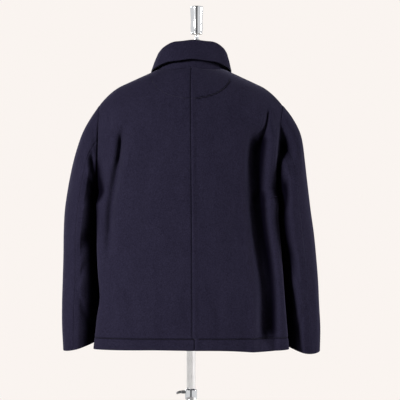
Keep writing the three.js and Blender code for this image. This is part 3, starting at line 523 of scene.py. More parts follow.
def column_top(face, column):
    """The share of the cap's height at which a column meets the neck or shoulder seam."""
    power, neck_depth = FACES[face]["cap_power"], FACES[face]["neck_depth"]
    x = np.abs(column)
    neck_y = neck_depth * np.sqrt(np.maximum(0, 1 - (x / NECK_X) ** 2))
    depth = read(BODY_DEPTHS, face, SHOULDER_POINT_Z)
    across = np.cos(angle_of(x, SHOULDER_X, armhole_angle(1))) ** (2 / ROUNDNESS)
    return np.where(x >= NECK_X, 1, (1 - (neck_y / (depth * across)) ** power) ** (1 / power))


def body_base(face, side, column, height):
    """Points of the undisturbed body."""
    column, height = np.broadcast_arrays(np.asarray(column, float), np.asarray(height, float))
    sign, power, ridge = (FACES[face][key] for key in ("sign", "cap_power", "ridge"))
    cap = np.maximum(0, height - 1)
    edge = armhole_angle(cap)
    level = np.where(height < 1, between(HEM_Z, UNDERARM_Z, height), between(UNDERARM_Z, SHOULDER_POINT_Z, cap))
    half = read(BODY_WIDTHS, SIDE_NAMES[side], level)
    x = np.abs(column)
    top_angle = angle_of(x, SHOULDER_X, armhole_angle(1))
    angle = np.where(column < 0, angle_of(x, half, edge), top_angle / armhole_angle(1) * edge)
    dented = np.where(height < 1, ease((UNDERARM_Z - level) / 60), 0)
    ridge = ridge * ease((UNDERARM_Z + 25 - level) / 45)
    spread = (half + ridge) * (np.sin(angle) / np.sin(edge)) ** (2 / ROUNDNESS)
    pressed = (ridge + 8 * dented) * ease((angle - math.radians(58)) / math.radians(32))
    x = np.where(column < 0, x, spread - pressed)
    share = cap * column_top(face, column)
    rounding = np.maximum(0, 1 - share**power) ** (1 / power)
    across = np.maximum(0, np.cos(angle)) ** (2 / ROUNDNESS)
    y = sign * read(BODY_DEPTHS, face, level) * across * rounding
    z = np.where(height < 1, level, UNDERARM_Z + (shoulder_line(x) - UNDERARM_Z) * share)
    return np.stack([side * np.where(column < 0, -1, 1) * x, y, z], axis=-1)


print("a point at the shoulder:", body_base("back", 1, 232, 2).round(1))

# %% [markdown]
# ## Folds of the body
# Worn cloth breaks into folds where the arm hangs against it. Each fold is a line of heights and distances from the
# middle, with a depth, a width and the lengths over which it starts and fades. A negative depth is a ridge. The first
# rows are the large folds of the solid. The others are the small creases by the armholes, the hem and the neck.

# %% Folds
FOLDS = [
    # face, side, depth, width towards the middle, width away from it, fades in over, fades out over,
    # share left at the end, (z, x) points
    ("back", -1, 30, 24, 12, 60, 60, 0.4, ((1300, 188), (1253, 182), (1228, 179), (1153, 176), (1102, 179),
                                          (1027, 186), (952, 199), (876, 208), (801, 209), (730, 209))),
    ("back", -1, 9, 8, 6, 30, 60, 0, ((1350, 199), (1303, 193), (1265, 186), (1225, 180))),
    ("back", -1, -5, 12, 12, 80, 120, 0.3, ((1300, 212), (1128, 200), (900, 220), (730, 226))),
    ("back", -1, -8, 15, 7, 60, 60, 0, ((1320, 219), (1230, 218), (1153, 215), (1102, 213), (1060, 213))),
    ("back", 1, 14, 12, 9, 60, 160, 0, ((1300, 166), (1253, 175), (1203, 181), (1153, 191), (1102, 200),
                                        (1027, 205), (952, 210), (900, 212))),
    ("back", 1, 5, 20, 20, 90, 60, 0, ((930, 226), (800, 222))),
    ("front", -1, 10, 16, 16, 100, 160, 0.3, ((1330, 186), (1200, 168), (1000, 174), (730, 184))),
    ("front", 1, 9, 17, 17, 100, 200, 0.2, ((1320, 184), (1180, 171), (1000, 182), (730, 196))),
    # small creases
    ("back", 1, 6, 5, 4, 20, 50, 0, ((1275, 176), (1240, 178), (1200, 184), (1165, 192))),
    ("back", -1, -5, 13, 10, 110, 60, 1, ((900, 158), (810, 156), (700, 152))),
    ("back", -1, 3.2, 5, 5, 20, 30, 0, ((1338, 207), (1310, 213), (1276, 211))),
    ("back", -1, 2.6, 5, 5, 20, 25, 0, ((1322, 222), (1296, 221), (1268, 216))),
    ("back", 1, 3.0, 5, 5, 20, 30, 0, ((1336, 208), (1308, 205), (1268, 200))),
    ("back", 1, 2.2, 5, 5, 20, 25, 0, ((1316, 220), (1290, 216), (1262, 210))),
    ("back", -1, 2.6, 26, 26, 120, 200, 0, ((1300, 96), (1150, 104), (950, 112), (820, 118))),
    ("back", 1, 2.2, 24, 24, 120, 200, 0, ((1290, 88), (1150, 108), (980, 112), (860, 120))),
    ("back", 1, 2.0, 12, 12, 60, 120, 0.2, ((900, 160), (820, 150), (730, 146))),
    ("back", -1, 1.8, 10, 10, 40, 60, 0.3, ((860, 60), (800, 66), (730, 70))),
    ("front", -1, 3.0, 12, 12, 90, 160, 0.1, ((1260, 104), (1120, 122), (960, 130), (800, 140))),
    ("front", 1, 3.0, 13, 13, 90, 160, 0.1, ((1250, 98), (1110, 112), (950, 122), (790, 136))),
    ("front", 1, 2.6, 6, 6, 25, 40, 0, ((1330, 206), (1290, 199), (1240, 190))),
    ("front", -1, 2.6, 6, 6, 25, 40, 0, ((1326, 208), (1286, 200), (1238, 188))),
]

DEEP_FOLD, FLOOR_SHARE, FLOOR_WIDENS = 20, 1.6, 0.22


def fold_depth(face, side, points, column, height):
    """How far the folds press the body in. The deepest fold has a flat floor towards the middle."""
    x, z = points[..., 0] * side, points[..., 2]
    depth = np.zeros(x.shape)
    for fold_face, fold_side, deep, within, beyond, fade_in, fade_out, left, line in FOLDS:
        if (fold_face, fold_side) != (face, side):
            continue
        rows = table("z x", *line)
        start = ease((line[0][0] - z) / fade_in)
        end = between(left, 1, ease((z - line[-1][0]) / fade_out))
        away = x - read(rows, "x", z)
        wide = np.where(away < 0, within, beyond)
        round_floor = bell(away, wide)
        floor = wide * (FLOOR_SHARE + FLOOR_WIDENS * ease((1050 - z) / 120))
        flat_floor = np.where(away < 0, np.exp(-(away / floor) ** 4), round_floor)
        depth += deep * start * end * (flat_floor if deep > DEEP_FOLD else round_floor)
    return depth * ease((SHOULDER_X - column) / 12) * ease((2 - height) / 0.25) * ease(x / 40)


print("folds:", len(FOLDS))

# %% [markdown]
# ## Sewn lines that press into the cloth
# Three rows of machine stitching show on the back: a half moon below the neck, a row above the hem and the seam down
# the middle, whose allowance is pressed to one side and stands a little proud. Each is a soft dip or step in the
# panel's own points, and the dips are also darkened with painted shade. The threads come later.

# %% Half moon, hem row and raised seam
MOON_BOTTOM_Z, MOON_HALF_WIDTH, MOON_HEIGHT = 1356, 100, 60
HEM_ROW_Z = HEM_Z + 29
SEAM_STRIP, SEAM_STRIP_RISE = 13.5, 1.4
SEAM_JOG, SEAM_JOG_Z = 6, 762
HEM_DIP, HEM_DIP_WIDTH, MOON_DIP, MOON_DIP_WIDTH = 1.1, 2.4, 1.3, 2.7
LAP_FADE_X = 62


def moon_z(x):
    return MOON_BOTTOM_Z + MOON_HEIGHT * (1 - np.sqrt(np.maximum(0, 1 - (x / MOON_HALF_WIDTH) ** 2)))


def sewn_relief(face, side, points):
    """The dips of the stitched rows, less the rise of the seam's allowance."""
    x, z = points[..., 0], points[..., 2]
    dip = HEM_DIP * bell(z - HEM_ROW_Z, HEM_DIP_WIDTH)
    if face == "back":
        inside = np.abs(x) < MOON_HALF_WIDTH - 0.5
        slope = MOON_HEIGHT / MOON_HALF_WIDTH * np.abs(x) / np.sqrt(np.maximum(200, MOON_HALF_WIDTH**2 - x**2))
        away = (z - moon_z(x)) / np.sqrt(1 + slope**2)
        # The half moon's dip, and the painted shade that follows it, fade to 30 % on the wearer's left.
        dip += MOON_DIP * bell(away, MOON_DIP_WIDTH) * inside * (0.3 + 0.7 * ease((30 - x) / 40))
        if side < 0:
            dip -= SEAM_STRIP_RISE * ease((SEAM_STRIP - np.abs(x)) / 7) * ease((1440 - z) / 6)
    return dip


def body_panel(face, side):
    """The outer and inner grid of one panel, before its edges are worked."""
    sign = FACES[face]["sign"]
    first = (0, 0.25, 0.7, 1.25, 3) if face == "front" else (0, 1, 2.2, 4, 6.5, 10)
    columns = spaced(-LAP_X if face == "front" else 0, SHOULDER_X, 2.9, first, (0, 0.5, 1.2, 2.2, 3.5))
    lower = spaced(0, 1, 0.0085, (0, 0.0005, 0.0016, 0.0034, 0.008), (0,))
    fine = [(HEM_ROW_Z - HEM_Z + k) / (UNDERARM_Z - HEM_Z) for k in (-4, -2.4, -1.2, 0, 1.2, 2.4, 4)]
    turns = np.radians(np.concatenate([
        np.linspace(0, 58.668, 33), np.linspace(58.668, 103.886, 27)[1:], np.linspace(103.886, 180, 43)[1:],
    ]))
    heights = np.concatenate([np.unique(np.concatenate([lower, fine]))[:-1], 1 + (1 - np.cos(turns)) / 2])
    column, height = np.meshgrid(columns, heights)
    base = body_base(face, side, column, height)
    middle = np.stack([0 * column, 0 * column, np.minimum(base[..., 2], UNDERARM_Z)], axis=-1)
    smooth = normals_of(base)
    smooth *= np.sign(np.sum(smooth * (base - middle), axis=-1, keepdims=True))
    depth = fold_depth(face, side, base, column, height)
    if face == "front" and side < 0:
        depth = depth + (WOOL + SEAM) * ease((LAP_FADE_X - base[..., 0] * side) / (LAP_FADE_X - LAP_X - 4))
    folded = base - unit(smooth * (0.3, 1, 1)) * depth[..., None]
    folded[..., 2] -= hem_drop(face, folded)
    normal = normals_of(folded)
    normal *= np.sign(np.sum(normal * smooth, axis=-1, keepdims=True))
    if face == "back":
        normal[..., 0] *= ease(column / 6)
    by_side = ease((SHOULDER_X - column) / 5) + ease((height - 1) / 0.04)
    by_shoulder = ease((2 - height) / 0.004) + ease((NECK_X - column) / 3)
    normal[..., 1] *= np.clip(by_side, 0, 1) * np.clip(by_shoulder, 0, 1)
    normal = unit(normal)
    dips = sewn_relief(face, side, folded)
    outer = folded - normal * dips[..., None]
    inner = folded - normal * WOOL

    def set_back(grid):
        if face == "back":
            grid[:, 0, 0] = side * SEAM / 2
        grid[height[:, 0] <= 1, -1, 1] = sign * SEAM / 2
        grid[-1, columns >= NECK_X - 0.01, 1] = sign * SEAM / 2
        drift = -4 * ease((SHOULDER_TOP_Z - grid[..., 2]) / (SHOULDER_TOP_Z - HEM_Z))
        grid[..., 0] += drift * (1 - np.minimum(1, np.abs(column) / SHOULDER_X))
        if face == "back":
            grid[..., 0] -= SEAM_JOG * ease((SEAM_JOG_Z - grid[..., 2]) / 9) * ease((60 - column) / 60)
        return grid

    # Painted shade: the cloth is darkened along the dips of the stitched rows.
    shade = 0.75 * ease((dips - 0.3) / 0.8)
    return {
        "outer": set_back(outer), "inner": set_back(inner), "columns": columns, "heights": heights, "shade": shade,
    }


def hem_drop(face, points):
    """The hem hangs a few millimetres lower on the wearer's right at the back."""
    low = ease((880 - points[..., 2]) / 150)
    x = points[..., 0]
    if face == "back":
        return low * (4.5 * bell(x + 170, 60) - 1.2 * bell(x - 90, 60))
    return low * 1.5 * bell(x + 100, 80)


PANELS = {(face, side): body_panel(face, side) for face in ("back", "front") for side in (1, -1)}
EDGES = {
    "back": {"start": "deep", "end": "pressed", "bottom": "turned", "top": "pressed"},
    "front": {"start": "turned", "end": "pressed", "bottom": "turned", "top": "pressed"},
}
coat = {}
for (face, side), grids in PANELS.items():
    name = f"cloth_{face}_{SIDE_NAMES[side]}"
    coat[name] = shell(name, grids["outer"], grids["inner"], EDGES[face], shade=grids["shade"])
    print(name, grids["outer"].shape, len(coat[name].data.polygons), "faces")

# %% [markdown]
# ## The sleeves
# A tailored sleeve has two pieces: a wide top sleeve and a narrow under sleeve. Both are strips of one tube. The
# tube starts exactly at the armhole's edge, runs out of it square to the seam, and turns smoothly into the arm, whose
# outer and inner lines stand in a table of sixteen stations down to the cuff.

# %% Sleeve sizes
SLEEVES = {
    1: table(
        "station out_x out_z in_x in_z depth forward",
        (0, 234, 1345, 237, 1105, 62, 0), (1, 241, 1334, 237.8, 1105, 67, 0), (2, 251, 1320, 238.0, 1104, 73, 0),
        (3, 262, 1304, 238.4, 1102, 79, 1), (4, 274, 1281, 238.0, 1088, 83, 2), (5, 285, 1252, 234.5, 1064, 85, 4),
        (6, 296, 1215, 233, 1034, 86, 5), (7, 306, 1172, 234, 1000, 85, 6), (8, 315, 1124, 234, 965, 82, 8),
        (9, 322, 1075, 233, 932, 78, 10), (10, 325, 1020, 232, 896, 73, 12), (11, 326, 960, 231, 861, 68, 14),
        (12, 328, 900, 233, 828, 63, 16), (13, 330, 838, 236, 795, 58, 18), (14, 330, 782, 240, 765, 54, 19),
        (15, 327, 718, 246, 738, 51, 20),
    ),
    -1: table(
        "station out_x out_z in_x in_z depth forward",
        (0, 235, 1345, 217, 1105, 62, 0), (1, 243, 1335, 218.8, 1110, 67, 0), (2, 254, 1321, 220.4, 1111, 73, 0),
        (3, 265, 1304, 220.8, 1104, 79, 1), (4, 276, 1280, 218.8, 1088, 83, 2), (5, 284, 1251, 215.4, 1064, 85, 4),
        (6, 289, 1214, 216, 1034, 86, 5), (7, 294, 1170, 218.5, 1000, 85, 6), (8, 300, 1120, 222.5, 965, 82, 8),
        (9, 306, 1072, 225.5, 932, 78, 10), (10, 314, 1016, 229, 896, 73, 12), (11, 320, 957, 233, 860, 68, 14),
        (12, 325, 896, 237, 826, 63, 16), (13, 328, 834, 239, 792, 58, 18), (14, 331, 776, 243, 758, 54, 19),
        (15, 330, 716, 248, 727, 51, 20),
    ),
}
SLEEVE_FOLDS = [
    # side, station, slope, angle, reach, depth, width: angles go round from the body by the back
    (-1, 5.2, 0.6, 62, 34, 11, 1.1), (-1, 9.5, 1.6, 60, 40, 6, 0.9), (1, 8.7, 1.5, 66, 36, 8, 0.8),
    (1, 4.8, 0.5, 60, 30, 7, 1.0), (1, 9.4, -1.2, 292, 42, 6, 0.9), (-1, 8.8, -1.3, 290, 42, 7, 0.9),
    (-1, 3.0, 0.5, 108, 25, 30, 1.7), (1, 3.2, 0.2, 84, 16, 12, 0.6), (1, 3.9, 0.0, 128, 34, 13, 1.9),
    # small creases
    (1, 6.8, 0.9, 88, 26, 2.6, 0.35), (1, 10.6, 1.2, 78, 30, 3.2, 0.4), (1, 12.4, -0.9, 80, 34, 2.6, 0.4),
    (-1, 7.4, 0.8, 96, 26, 2.4, 0.35), (-1, 11.2, 1.1, 84, 30, 3.0, 0.4), (-1, 13.0, -0.8, 86, 30, 2.4, 0.4),
    (1, 2.6, 0.3, 118, 30, 1.8, 0.4), (-1, 2.9, 0.3, 112, 30, 2.2, 0.4),
    (1, 7.2, -0.9, 268, 28, 2.6, 0.4), (-1, 11.4, -1.0, 270, 30, 2.8, 0.4),
]
CUFF_BOW = {1: 4, -1: 9}
SLEEVE_FULLNESS = 2.35


def sleeve_fold_depth(side, station, angle):
    depth = np.zeros(angle.shape)
    for fold_side, place, slope, middle, reach, deep, width in SLEEVE_FOLDS:
        if fold_side == side:
            around = (angle - middle) / reach
            depth += deep * np.exp(-around**2 - ((station - place - slope * around) / width) ** 2)
    return depth


# %% Armhole and tube
def armhole_loop(side):
    """The armhole's edge once round: from the underarm up the back to the shoulder and down the front."""
    back, front = PANELS[("back", side)], PANELS[("front", side)]
    rows = int(np.argmin(np.abs(back["heights"] - 1)))
    loop = {}
    for key in ("outer", "inner"):
        up, down = back[key][rows:, -1].copy(), front[key][rows:, -1].copy()
        up[0, 1] = up[-1, 1] = 0
        loop[key] = np.concatenate([up, down[-2:0:-1]])
    inside_up, inside_down = back["outer"][rows:, -6], front["outer"][rows:, -6]
    loop["within"] = np.concatenate([inside_up, inside_down[-2:0:-1]])
    loop["top"] = len(back["heights"]) - 1 - rows
    return loop


def leaving(loop):
    """The direction in which the sleeve leaves the armhole at each point."""
    outer = loop["outer"]
    along = np.roll(outer, -1, axis=0) - np.roll(outer, 1, axis=0)
    direction = unit(np.cross(along, outer - loop["inner"]))
    away = outer - loop["within"]
    away[0] = (0, 0, 1)
    away[loop["top"]] = (np.sign(outer[loop["top"], 0]), 0, -1)
    direction *= np.sign(np.sum(direction * away, axis=-1, keepdims=True))
    soft = direction.copy()
    for shift in (1, 2, 3):
        soft += np.roll(direction, shift, axis=0) + np.roll(direction, -shift, axis=0)
    return unit(soft)


def sleeve_tube(side):
    """Outer and inner rings of the whole sleeve."""
    loop = armhole_loop(side)
    go = leaving(loop)
    z = loop["outer"][:, 2]
    low, high = UNDERARM_Z, SHOULDER_POINT_Z
    angle = np.arccos(np.clip(((low + high) / 2 - z) / ((high - low) / 2), -1, 1))
    after_top = np.arange(len(z)) > loop["top"]
    angle = np.where(after_top, 2 * math.pi - angle, angle)
    angle[0], angle[loop["top"]] = 0, math.pi
    stations = spaced(0, 15, 0.095, (0, 0.05, 0.12, 0.22), (0, 0.004, 0.015, 0.04, 0.08))
    count = len(angle)
    rings = np.zeros((len(stations), count, 3))
    for row, station in enumerate(stations):
        size = sizes_at(SLEEVES[side], station)
        outer_end = np.array([side * size["out_x"], -size["forward"], size["out_z"]])
        inner_end = np.array([side * size["in_x"], -size["forward"], size["in_z"]])
        middle, half = (outer_end + inner_end) / 2, (outer_end - inner_end) / 2
        power = np.where(np.cos(angle) > 0, between(2, 1.4, ease((station - 1) / 4)), SLEEVE_FULLNESS)
        across, deep = squared_round(np.cos(angle), power), squared_round(np.sin(angle), power)
        arm = middle - half * across[:, None] + np.outer(size["depth"] * deep, (0, 1, 0))
        towards = unit(np.array([middle[0], 0, middle[2]]) - arm)
        arm[:, 2] -= CUFF_BOW[side] * np.sin(angle) ** 2 * ease((station - 12) / 3)
        underarm = np.maximum(0, np.cos(angle)) ** 3
        run = between(1.2, 3 if side > 0 else 6, underarm) * min(1, station / 1.3) + SEAM
        seam = loop["outer"] + go * run[:, None]
        pressed = sleeve_fold_depth(side, station, np.degrees(angle)) * ease(station / 1.2)
        rings[row] = between(seam, arm, ease(station / 4.5)) + towards * pressed[:, None]
    around = np.roll(rings, -1, axis=1) - np.roll(rings, 1, axis=1)
    along = np.gradient(rings, axis=0)
    inner = rings - side * WOOL * unit(np.cross(around, along))
    inner[0] = loop["inner"] + go * SEAM
    return {"outer": rings, "inner": inner, "stations": stations, "top": loop["top"]}


# %% Top and under sleeves
TUBES = {side: sleeve_tube(side) for side in (1, -1)}
BACK_SEAM, FRONT_SEAM = 58, 32


def sleeve_piece(name, tube, first, last):
    count = tube["outer"].shape[1]
    pick = [(first + k) % count for k in range((last - first) % count + 1)]
    grids = []
    for key in ("outer", "inner"):
        grid = tube[key][:, pick].copy()
        for end, step in ((0, 1), (-1, -1)):
            tangent = unit(tube[key][:, (pick[end] + 1) % count] - tube[key][:, pick[end] - 1])
            grid[:, end] += tangent * step * SEAM / 2
        grids.append(grid)
    edges = {"start": "pressed", "end": "pressed", "bottom": "sewn", "top": "turned"}
    coat[name] = shell(name, *grids, edges)
    print(name, grids[0].shape, len(coat[name].data.polygons), "faces")


for side in (1, -1):
    count = TUBES[side]["outer"].shape[1]
    sleeve_piece(f"cloth_sleeve_{SIDE_NAMES[side]}_under", TUBES[side], count - FRONT_SEAM, BACK_SEAM)
    sleeve_piece(f"cloth_sleeve_{SIDE_NAMES[side]}_top", TUBES[side], BACK_SEAM, count - FRONT_SEAM)

# %% [markdown]
# ## The collar
# The collar is a stand that rises from the neck seam and a leaf that turns down over it. Top collar and under collar
# are two plies of the same folded profile, which changes a little from the middle of the back to the front, where
# the leaf is longer and its corners point outwards.

# %% Collar
COLLAR = table(
    "angle fold_rise fold_out edge_rise edge_out edge_shift",
    (0, 68, -2, 20, 13, 0), (18, 69, -2, 20, 13, 0), (36, 68, -2, 18, 13, 0), (57, 56, -3, 8, 12, 0),
    (72, 46, -4, 2, 11.5, 0), (90, 38, -4, 0, 12, 0), (108, 37, -3, -4, 17, 1), (126, 38, -1, -15, 20.5, 3),
    (153, 39, 0, -32, 22, 13), (180, 39, 1, -43, 24.5, 34),
)
FOLD_RADIUS = 5


def collar_profile(size):
    """Rise, distance out and share of the leaf, from the neck seam over the fold to the leaf's edge."""
    rise, out = size["fold_rise"] - FOLD_RADIUS, size["fold_out"]
    t = spaced(0, 1, 0.07, (0, 0.01, 0.03), (0,))[:-1]
    stand = np.stack([between(0.05, rise, t), between(-PLY - SEAM / 2, out - FOLD_RADIUS, t), 0 * t], axis=-1)
    turn = math.pi * (1 - np.linspace(0, 1, 17))
    fold = np.stack([rise + FOLD_RADIUS * np.sin(turn), out + FOLD_RADIUS * np.cos(turn), 0 * turn], axis=-1)
    t = spaced(0, 1, 0.05, (0,), (0, 0.004, 0.012, 0.03))[1:]
    leaf = np.stack([
        between(rise, size["edge_rise"], t),
        between(out + FOLD_RADIUS, size["edge_out"], t * (1.5 - t / 2)) + 1.4 * t**9, t,
    ], axis=-1)
    return np.concatenate([stand, fold, leaf])


def collar_grid():
    turns = spaced(-180, 180, 1.7, (0, 0.06, 0.2, 0.5, 1), (0, 0.06, 0.2, 0.5, 1))
    grid = []
    for turn in turns:
        side = -1 if turn < 0 else 1
        angle = abs(turn)
        radians = math.radians(angle)
        column = min(NECK_X, NECK_X * abs(math.sin(radians)))
        seam = body_base("back" if angle <= 90 else "front", side, column, 2.0)
        outward = np.array([side * math.sin(radians), math.cos(radians), 0])
        sideways = side * np.array([outward[1], -outward[0], 0])
        size = sizes_at(COLLAR, angle)
        rise, out, leaf = collar_profile(size).T
        soft = 1.4 * math.sin(radians * 3.1 + 0.6 * side) * math.sin(radians)
        points = seam + np.outer(out + soft * leaf, outward) - np.outer(size["edge_shift"] * leaf, sideways)
        points[:, 2] += rise
        if angle > 179.99:
            points += (side * 1.5, 0, 0.5)
        elif angle > 150:
            points[:, 0] += side * 1.5 * ease((angle - 150) / 30)
        grid.append(points)
    return np.array(grid)


neck_grid = collar_grid()
neck_normals = normals_of(neck_grid)
neck_edges = {"start": "sewn", "end": "turned", "bottom": "turned", "top": "turned"}
for name, near in (("cloth_collar_top", SEAM / 2), ("cloth_collar_under", -SEAM / 2 - PLY)):
    outer, inner = (neck_grid + neck_normals * away for away in (near + PLY, near))
    coat[name] = shell(name, outer, inner, neck_edges, PLY)
    print(name, neck_grid.shape, len(coat[name].data.polygons), "faces")

# %% [markdown]
# ## Painted shade deep in the folds
# The fibres at the bottom of a deep fold face cloth on both sides, so almost no light comes back out. That shade is
# painted into the cloth: a nearly black shader takes over there. To know how deep a point lies, the coat is seen as a
# map of heights, once from the back and once from the front. A point's depth is its distance below the lower of the
# two crests beside it. The painted shade grows with that depth, is left off above the armholes, and is kept in the
# point attribute that the wool reads.

# %% Painted shade in the hollows
CELL, CREST_FROM, CREST_REACH = 4.0, 3, 11
FREE_DEPTH, FULL_SHADE, DARKEST = 2, 18.0, 0.93
SHADE_TOP_LEFT, SHADE_TOP_RIGHT = 1225, 1295


def depth_below_crests(points, outward):
    """How far each point (mm) lies below the cloth on its left and right, seen from one side."""
    height = points[:, 1] * outward
    column = ((points[:, 0] + 400) / CELL).astype(int)
    row = (points[:, 2] / CELL).astype(int)
    crest = np.full((column.max() + 2 * CREST_REACH + 2, row.max() + 3), -500.0)
    np.maximum.at(crest, (column + CREST_REACH, row + 1), height)
    crest = np.maximum(crest, np.maximum(np.roll(crest, 1, axis=1), np.roll(crest, -1, axis=1)))
    sides = []
    for way in (-1, 1):
        reach = [crest[column + CREST_REACH + way * k, row + 1] for k in range(CREST_FROM, CREST_REACH + 1)]
        sides.append(np.max(reach, axis=0))
    return np.minimum(*sides) - height


cloth_points = {name: np.array([v.co[:] for v in piece.data.vertices]) * 1000 for name, piece in coat.items()}
every_point = np.concatenate(list(cloth_points.values()))
hidden = np.minimum(depth_below_crests(every_point, 1), depth_below_crests(every_point, -1))
first = 0
for name, piece in coat.items():
    # Painted shade: nearly black wool where a point lies deep below its crests, left off above the armholes.
    share = DARKEST * ease((hidden[first:first + len(cloth_points[name])] - FREE_DEPTH) / FULL_SHADE)
    x, z = cloth_points[name][:, 0], cloth_points[name][:, 2]
    share *= ease((np.where(x > 0, SHADE_TOP_LEFT, SHADE_TOP_RIGHT) - z) / 45)
    first += len(share)
    kept = piece.data.attributes["painted_shade"].data
    values = np.zeros(len(share))
    kept.foreach_get("value", values)
    kept.foreach_set("value", np.maximum(values, share))
    print(name, "deepest point", round(float(share.max()), 2))

# %% [markdown]
# ## The centre seam's turnings
# Behind the centre seam the two backs' edges are turned in and pressed, so the seam never shows daylight. A narrow
# strip of the same cloth stands for both turnings.

# %% Seam turnings
left, right = PANELS[("back", 1)], PANELS[("back", -1)]
turning = np.concatenate([right["inner"][:, 5:0:-1], left["inner"][:, 1:6]], axis=1)
inwards = -normals_of(turning)
inwards *= np.sign(np.sum(inwards * (0, -1, 0), axis=-1, keepdims=True))
turnings = shell("seam_turnings", turning + inwards * 0.25, turning + inwards * 1.05, {}, 0.8)
print("seam turnings:", turning.shape)

# %% [markdown]
# ## Threads along a line
# A row of machine stitches is one small shape repeated along a path. Geometry Nodes fits this well: the path is
# resampled at the stitch's pitch, a bead of thread is placed on each point and turned along the path, and the result
# is realized into a plain mesh.


# %% A tree that sews
def sewing_tree():
    tree = bpy.data.node_groups.new("row_of_stitches", "GeometryNodeTree")
    face = tree.interface
    face.new_socket("Path", in_out="INPUT", socket_type="NodeSocketGeometry")
    for name, value in (("Pitch", 0.0036), ("Stitch length", 0.0029), ("Thread radius", 0.0003)):
        face.new_socket(name, in_out="INPUT", socket_type="NodeSocketFloat").default_value = value
    face.new_socket("Thread", in_out="INPUT", socket_type="NodeSocketMaterial")
    face.new_socket("Stitches", in_out="OUTPUT", socket_type="NodeSocketGeometry")
    new, link = tree.nodes.new, tree.links.new
    start, end, curve, spread, bead, half, shape, scaled, place, along, tangent, real, paint = (new(kind) for kind in (
        "NodeGroupInput", "NodeGroupOutput", "GeometryNodeMeshToCurve", "GeometryNodeResampleCurve",
        "GeometryNodeMeshUVSphere", "ShaderNodeMath", "ShaderNodeCombineXYZ", "GeometryNodeTransform",
        "GeometryNodeInstanceOnPoints", "FunctionNodeAlignRotationToVector", "GeometryNodeInputTangent",
        "GeometryNodeRealizeInstances", "GeometryNodeSetMaterial",
    ))
    spread.mode, half.operation, along.axis = "LENGTH", "MULTIPLY", "X"
    for node, key, value in ((bead, "Segments", 6), (bead, "Rings", 4), (half, 1, 0.5)):
        node.inputs[key].default_value = value
    for source, out, target, into in (
        (start, "Path", curve, 0), (curve, 0, spread, "Curve"), (start, "Pitch", spread, "Length"),
        (start, "Stitch length", half, 0), (half, 0, shape, "X"), (start, "Thread radius", shape, "Y"),
        (start, "Thread radius", shape, "Z"), (bead, "Mesh", scaled, "Geometry"), (shape, 0, scaled, "Scale"),
        (spread, 0, place, "Points"), (scaled, 0, place, "Instance"), (tangent, 0, along, "Vector"),
        (along, 0, place, "Rotation"), (place, 0, real, 0), (real, 0, paint, "Geometry"),
        (start, "Thread", paint, "Material"), (paint, 0, end, 0),
    ):
        link(source.outputs[out], target.inputs[into])
    return tree


SEWING = sewing_tree()


def sew(name, paths, pitch=0.0036, length=0.0029, radius=0.0003, material=THREAD_NAVY):
    """Sews rows of stitches along paths of points in metres and returns them as one plain mesh."""
    points, edges = [], []
    for path in paths:
        edges += [(len(points) + k, len(points) + k + 1) for k in range(len(path) - 1)]
        points += [tuple(p) for p in path]
    mesh = bpy.data.meshes.new(name)
    mesh.from_pydata(points, edges, [])
    made = placed(name, mesh)
    sewing = made.modifiers.new("sewing", "NODES")
    sewing.node_group = SEWING
    keys = {item.name: item.identifier for item in SEWING.interface.items_tree if item.in_out == "INPUT"}
    for key, value in (("Pitch", pitch), ("Stitch length", length), ("Thread radius", radius), ("Thread", material)):
        sewing[keys[key]] = value
    plain = made_plain(made)
    plain.shade_smooth()
    print(name, len(plain.polygons), "faces")
    return made


# %% [markdown]
# ## Where the stitches lie
# A ray finds the cloth below each point of a chalked line, so that every row lies exactly on its panel, in the dip
# that was left for it.


# %% Lines on the cloth
def surface_of(*names):
    """A search tree over some pieces of the coat."""
    points, faces = [], []
    for name in names:
        mesh = coat[name].data
        faces += [[v + len(points) for v in p.vertices] for p in mesh.polygons]
        points += [v.co[:] for v in mesh.vertices]
    return BVHTree.FromPolygons(points, faces)


def chalk(tree, starts, direction, lift=0.00012):
    """The places where rays from the starts meet the cloth, a hair above it."""
    found = []
    for start in starts:
        place, normal, _, _ = tree.ray_cast(Vector(start), Vector(direction))
        if place is not None:
            found.append(place + normal * lift)
    return found


back_tree = surface_of("cloth_back_left", "cloth_back_right")
front_tree = surface_of("cloth_front_left", "cloth_front_right")
moon_x = np.linspace(-98.5, 98.5, 160)
moon_path = chalk(back_tree, [(x / 1000, 0.4, moon_z(x) / 1000) for x in moon_x], (0, -1, 0))
stitches = {"stitches_half_moon": sew("stitches_half_moon", [moon_path])}


def row_on_panel(face, side, z_row):
    """A level row round one panel, read from its own grid."""
    grids = PANELS[(face, side)]
    outer = leaned(grids["outer"])
    path = []
    for i in range(outer.shape[1]):
        z = outer[:, i, 2]
        low = int(np.argmax(z > z_row))
        share = (z_row - z[low - 1]) / (z[low] - z[low - 1])
        point = between(outer[low - 1, i], outer[low, i], share)
        push = unit(outer[low, i] - grids["inner"][low, i]) * 0.12
        path.append(Vector((point + push) / 1000))
    return path


hem_rows = [row_on_panel(face, side, HEM_ROW_Z) for face, side in PANELS]
stitches["stitches_hem"] = sew("stitches_hem", hem_rows)

# %% [markdown]
# ## Buttons and buttonholes
# Five horn buttons close the front. Each has a raised rim, a dished face and four holes, through which the thread
# crosses twice. The left front's buttonholes run from under each button towards the body and are edged with close
# purl stitches. The buttons stay shut, as on the worn coat.

# %% Turned shapes
BUTTON_THICK = 3.5
SHARP_ANGLE = 40


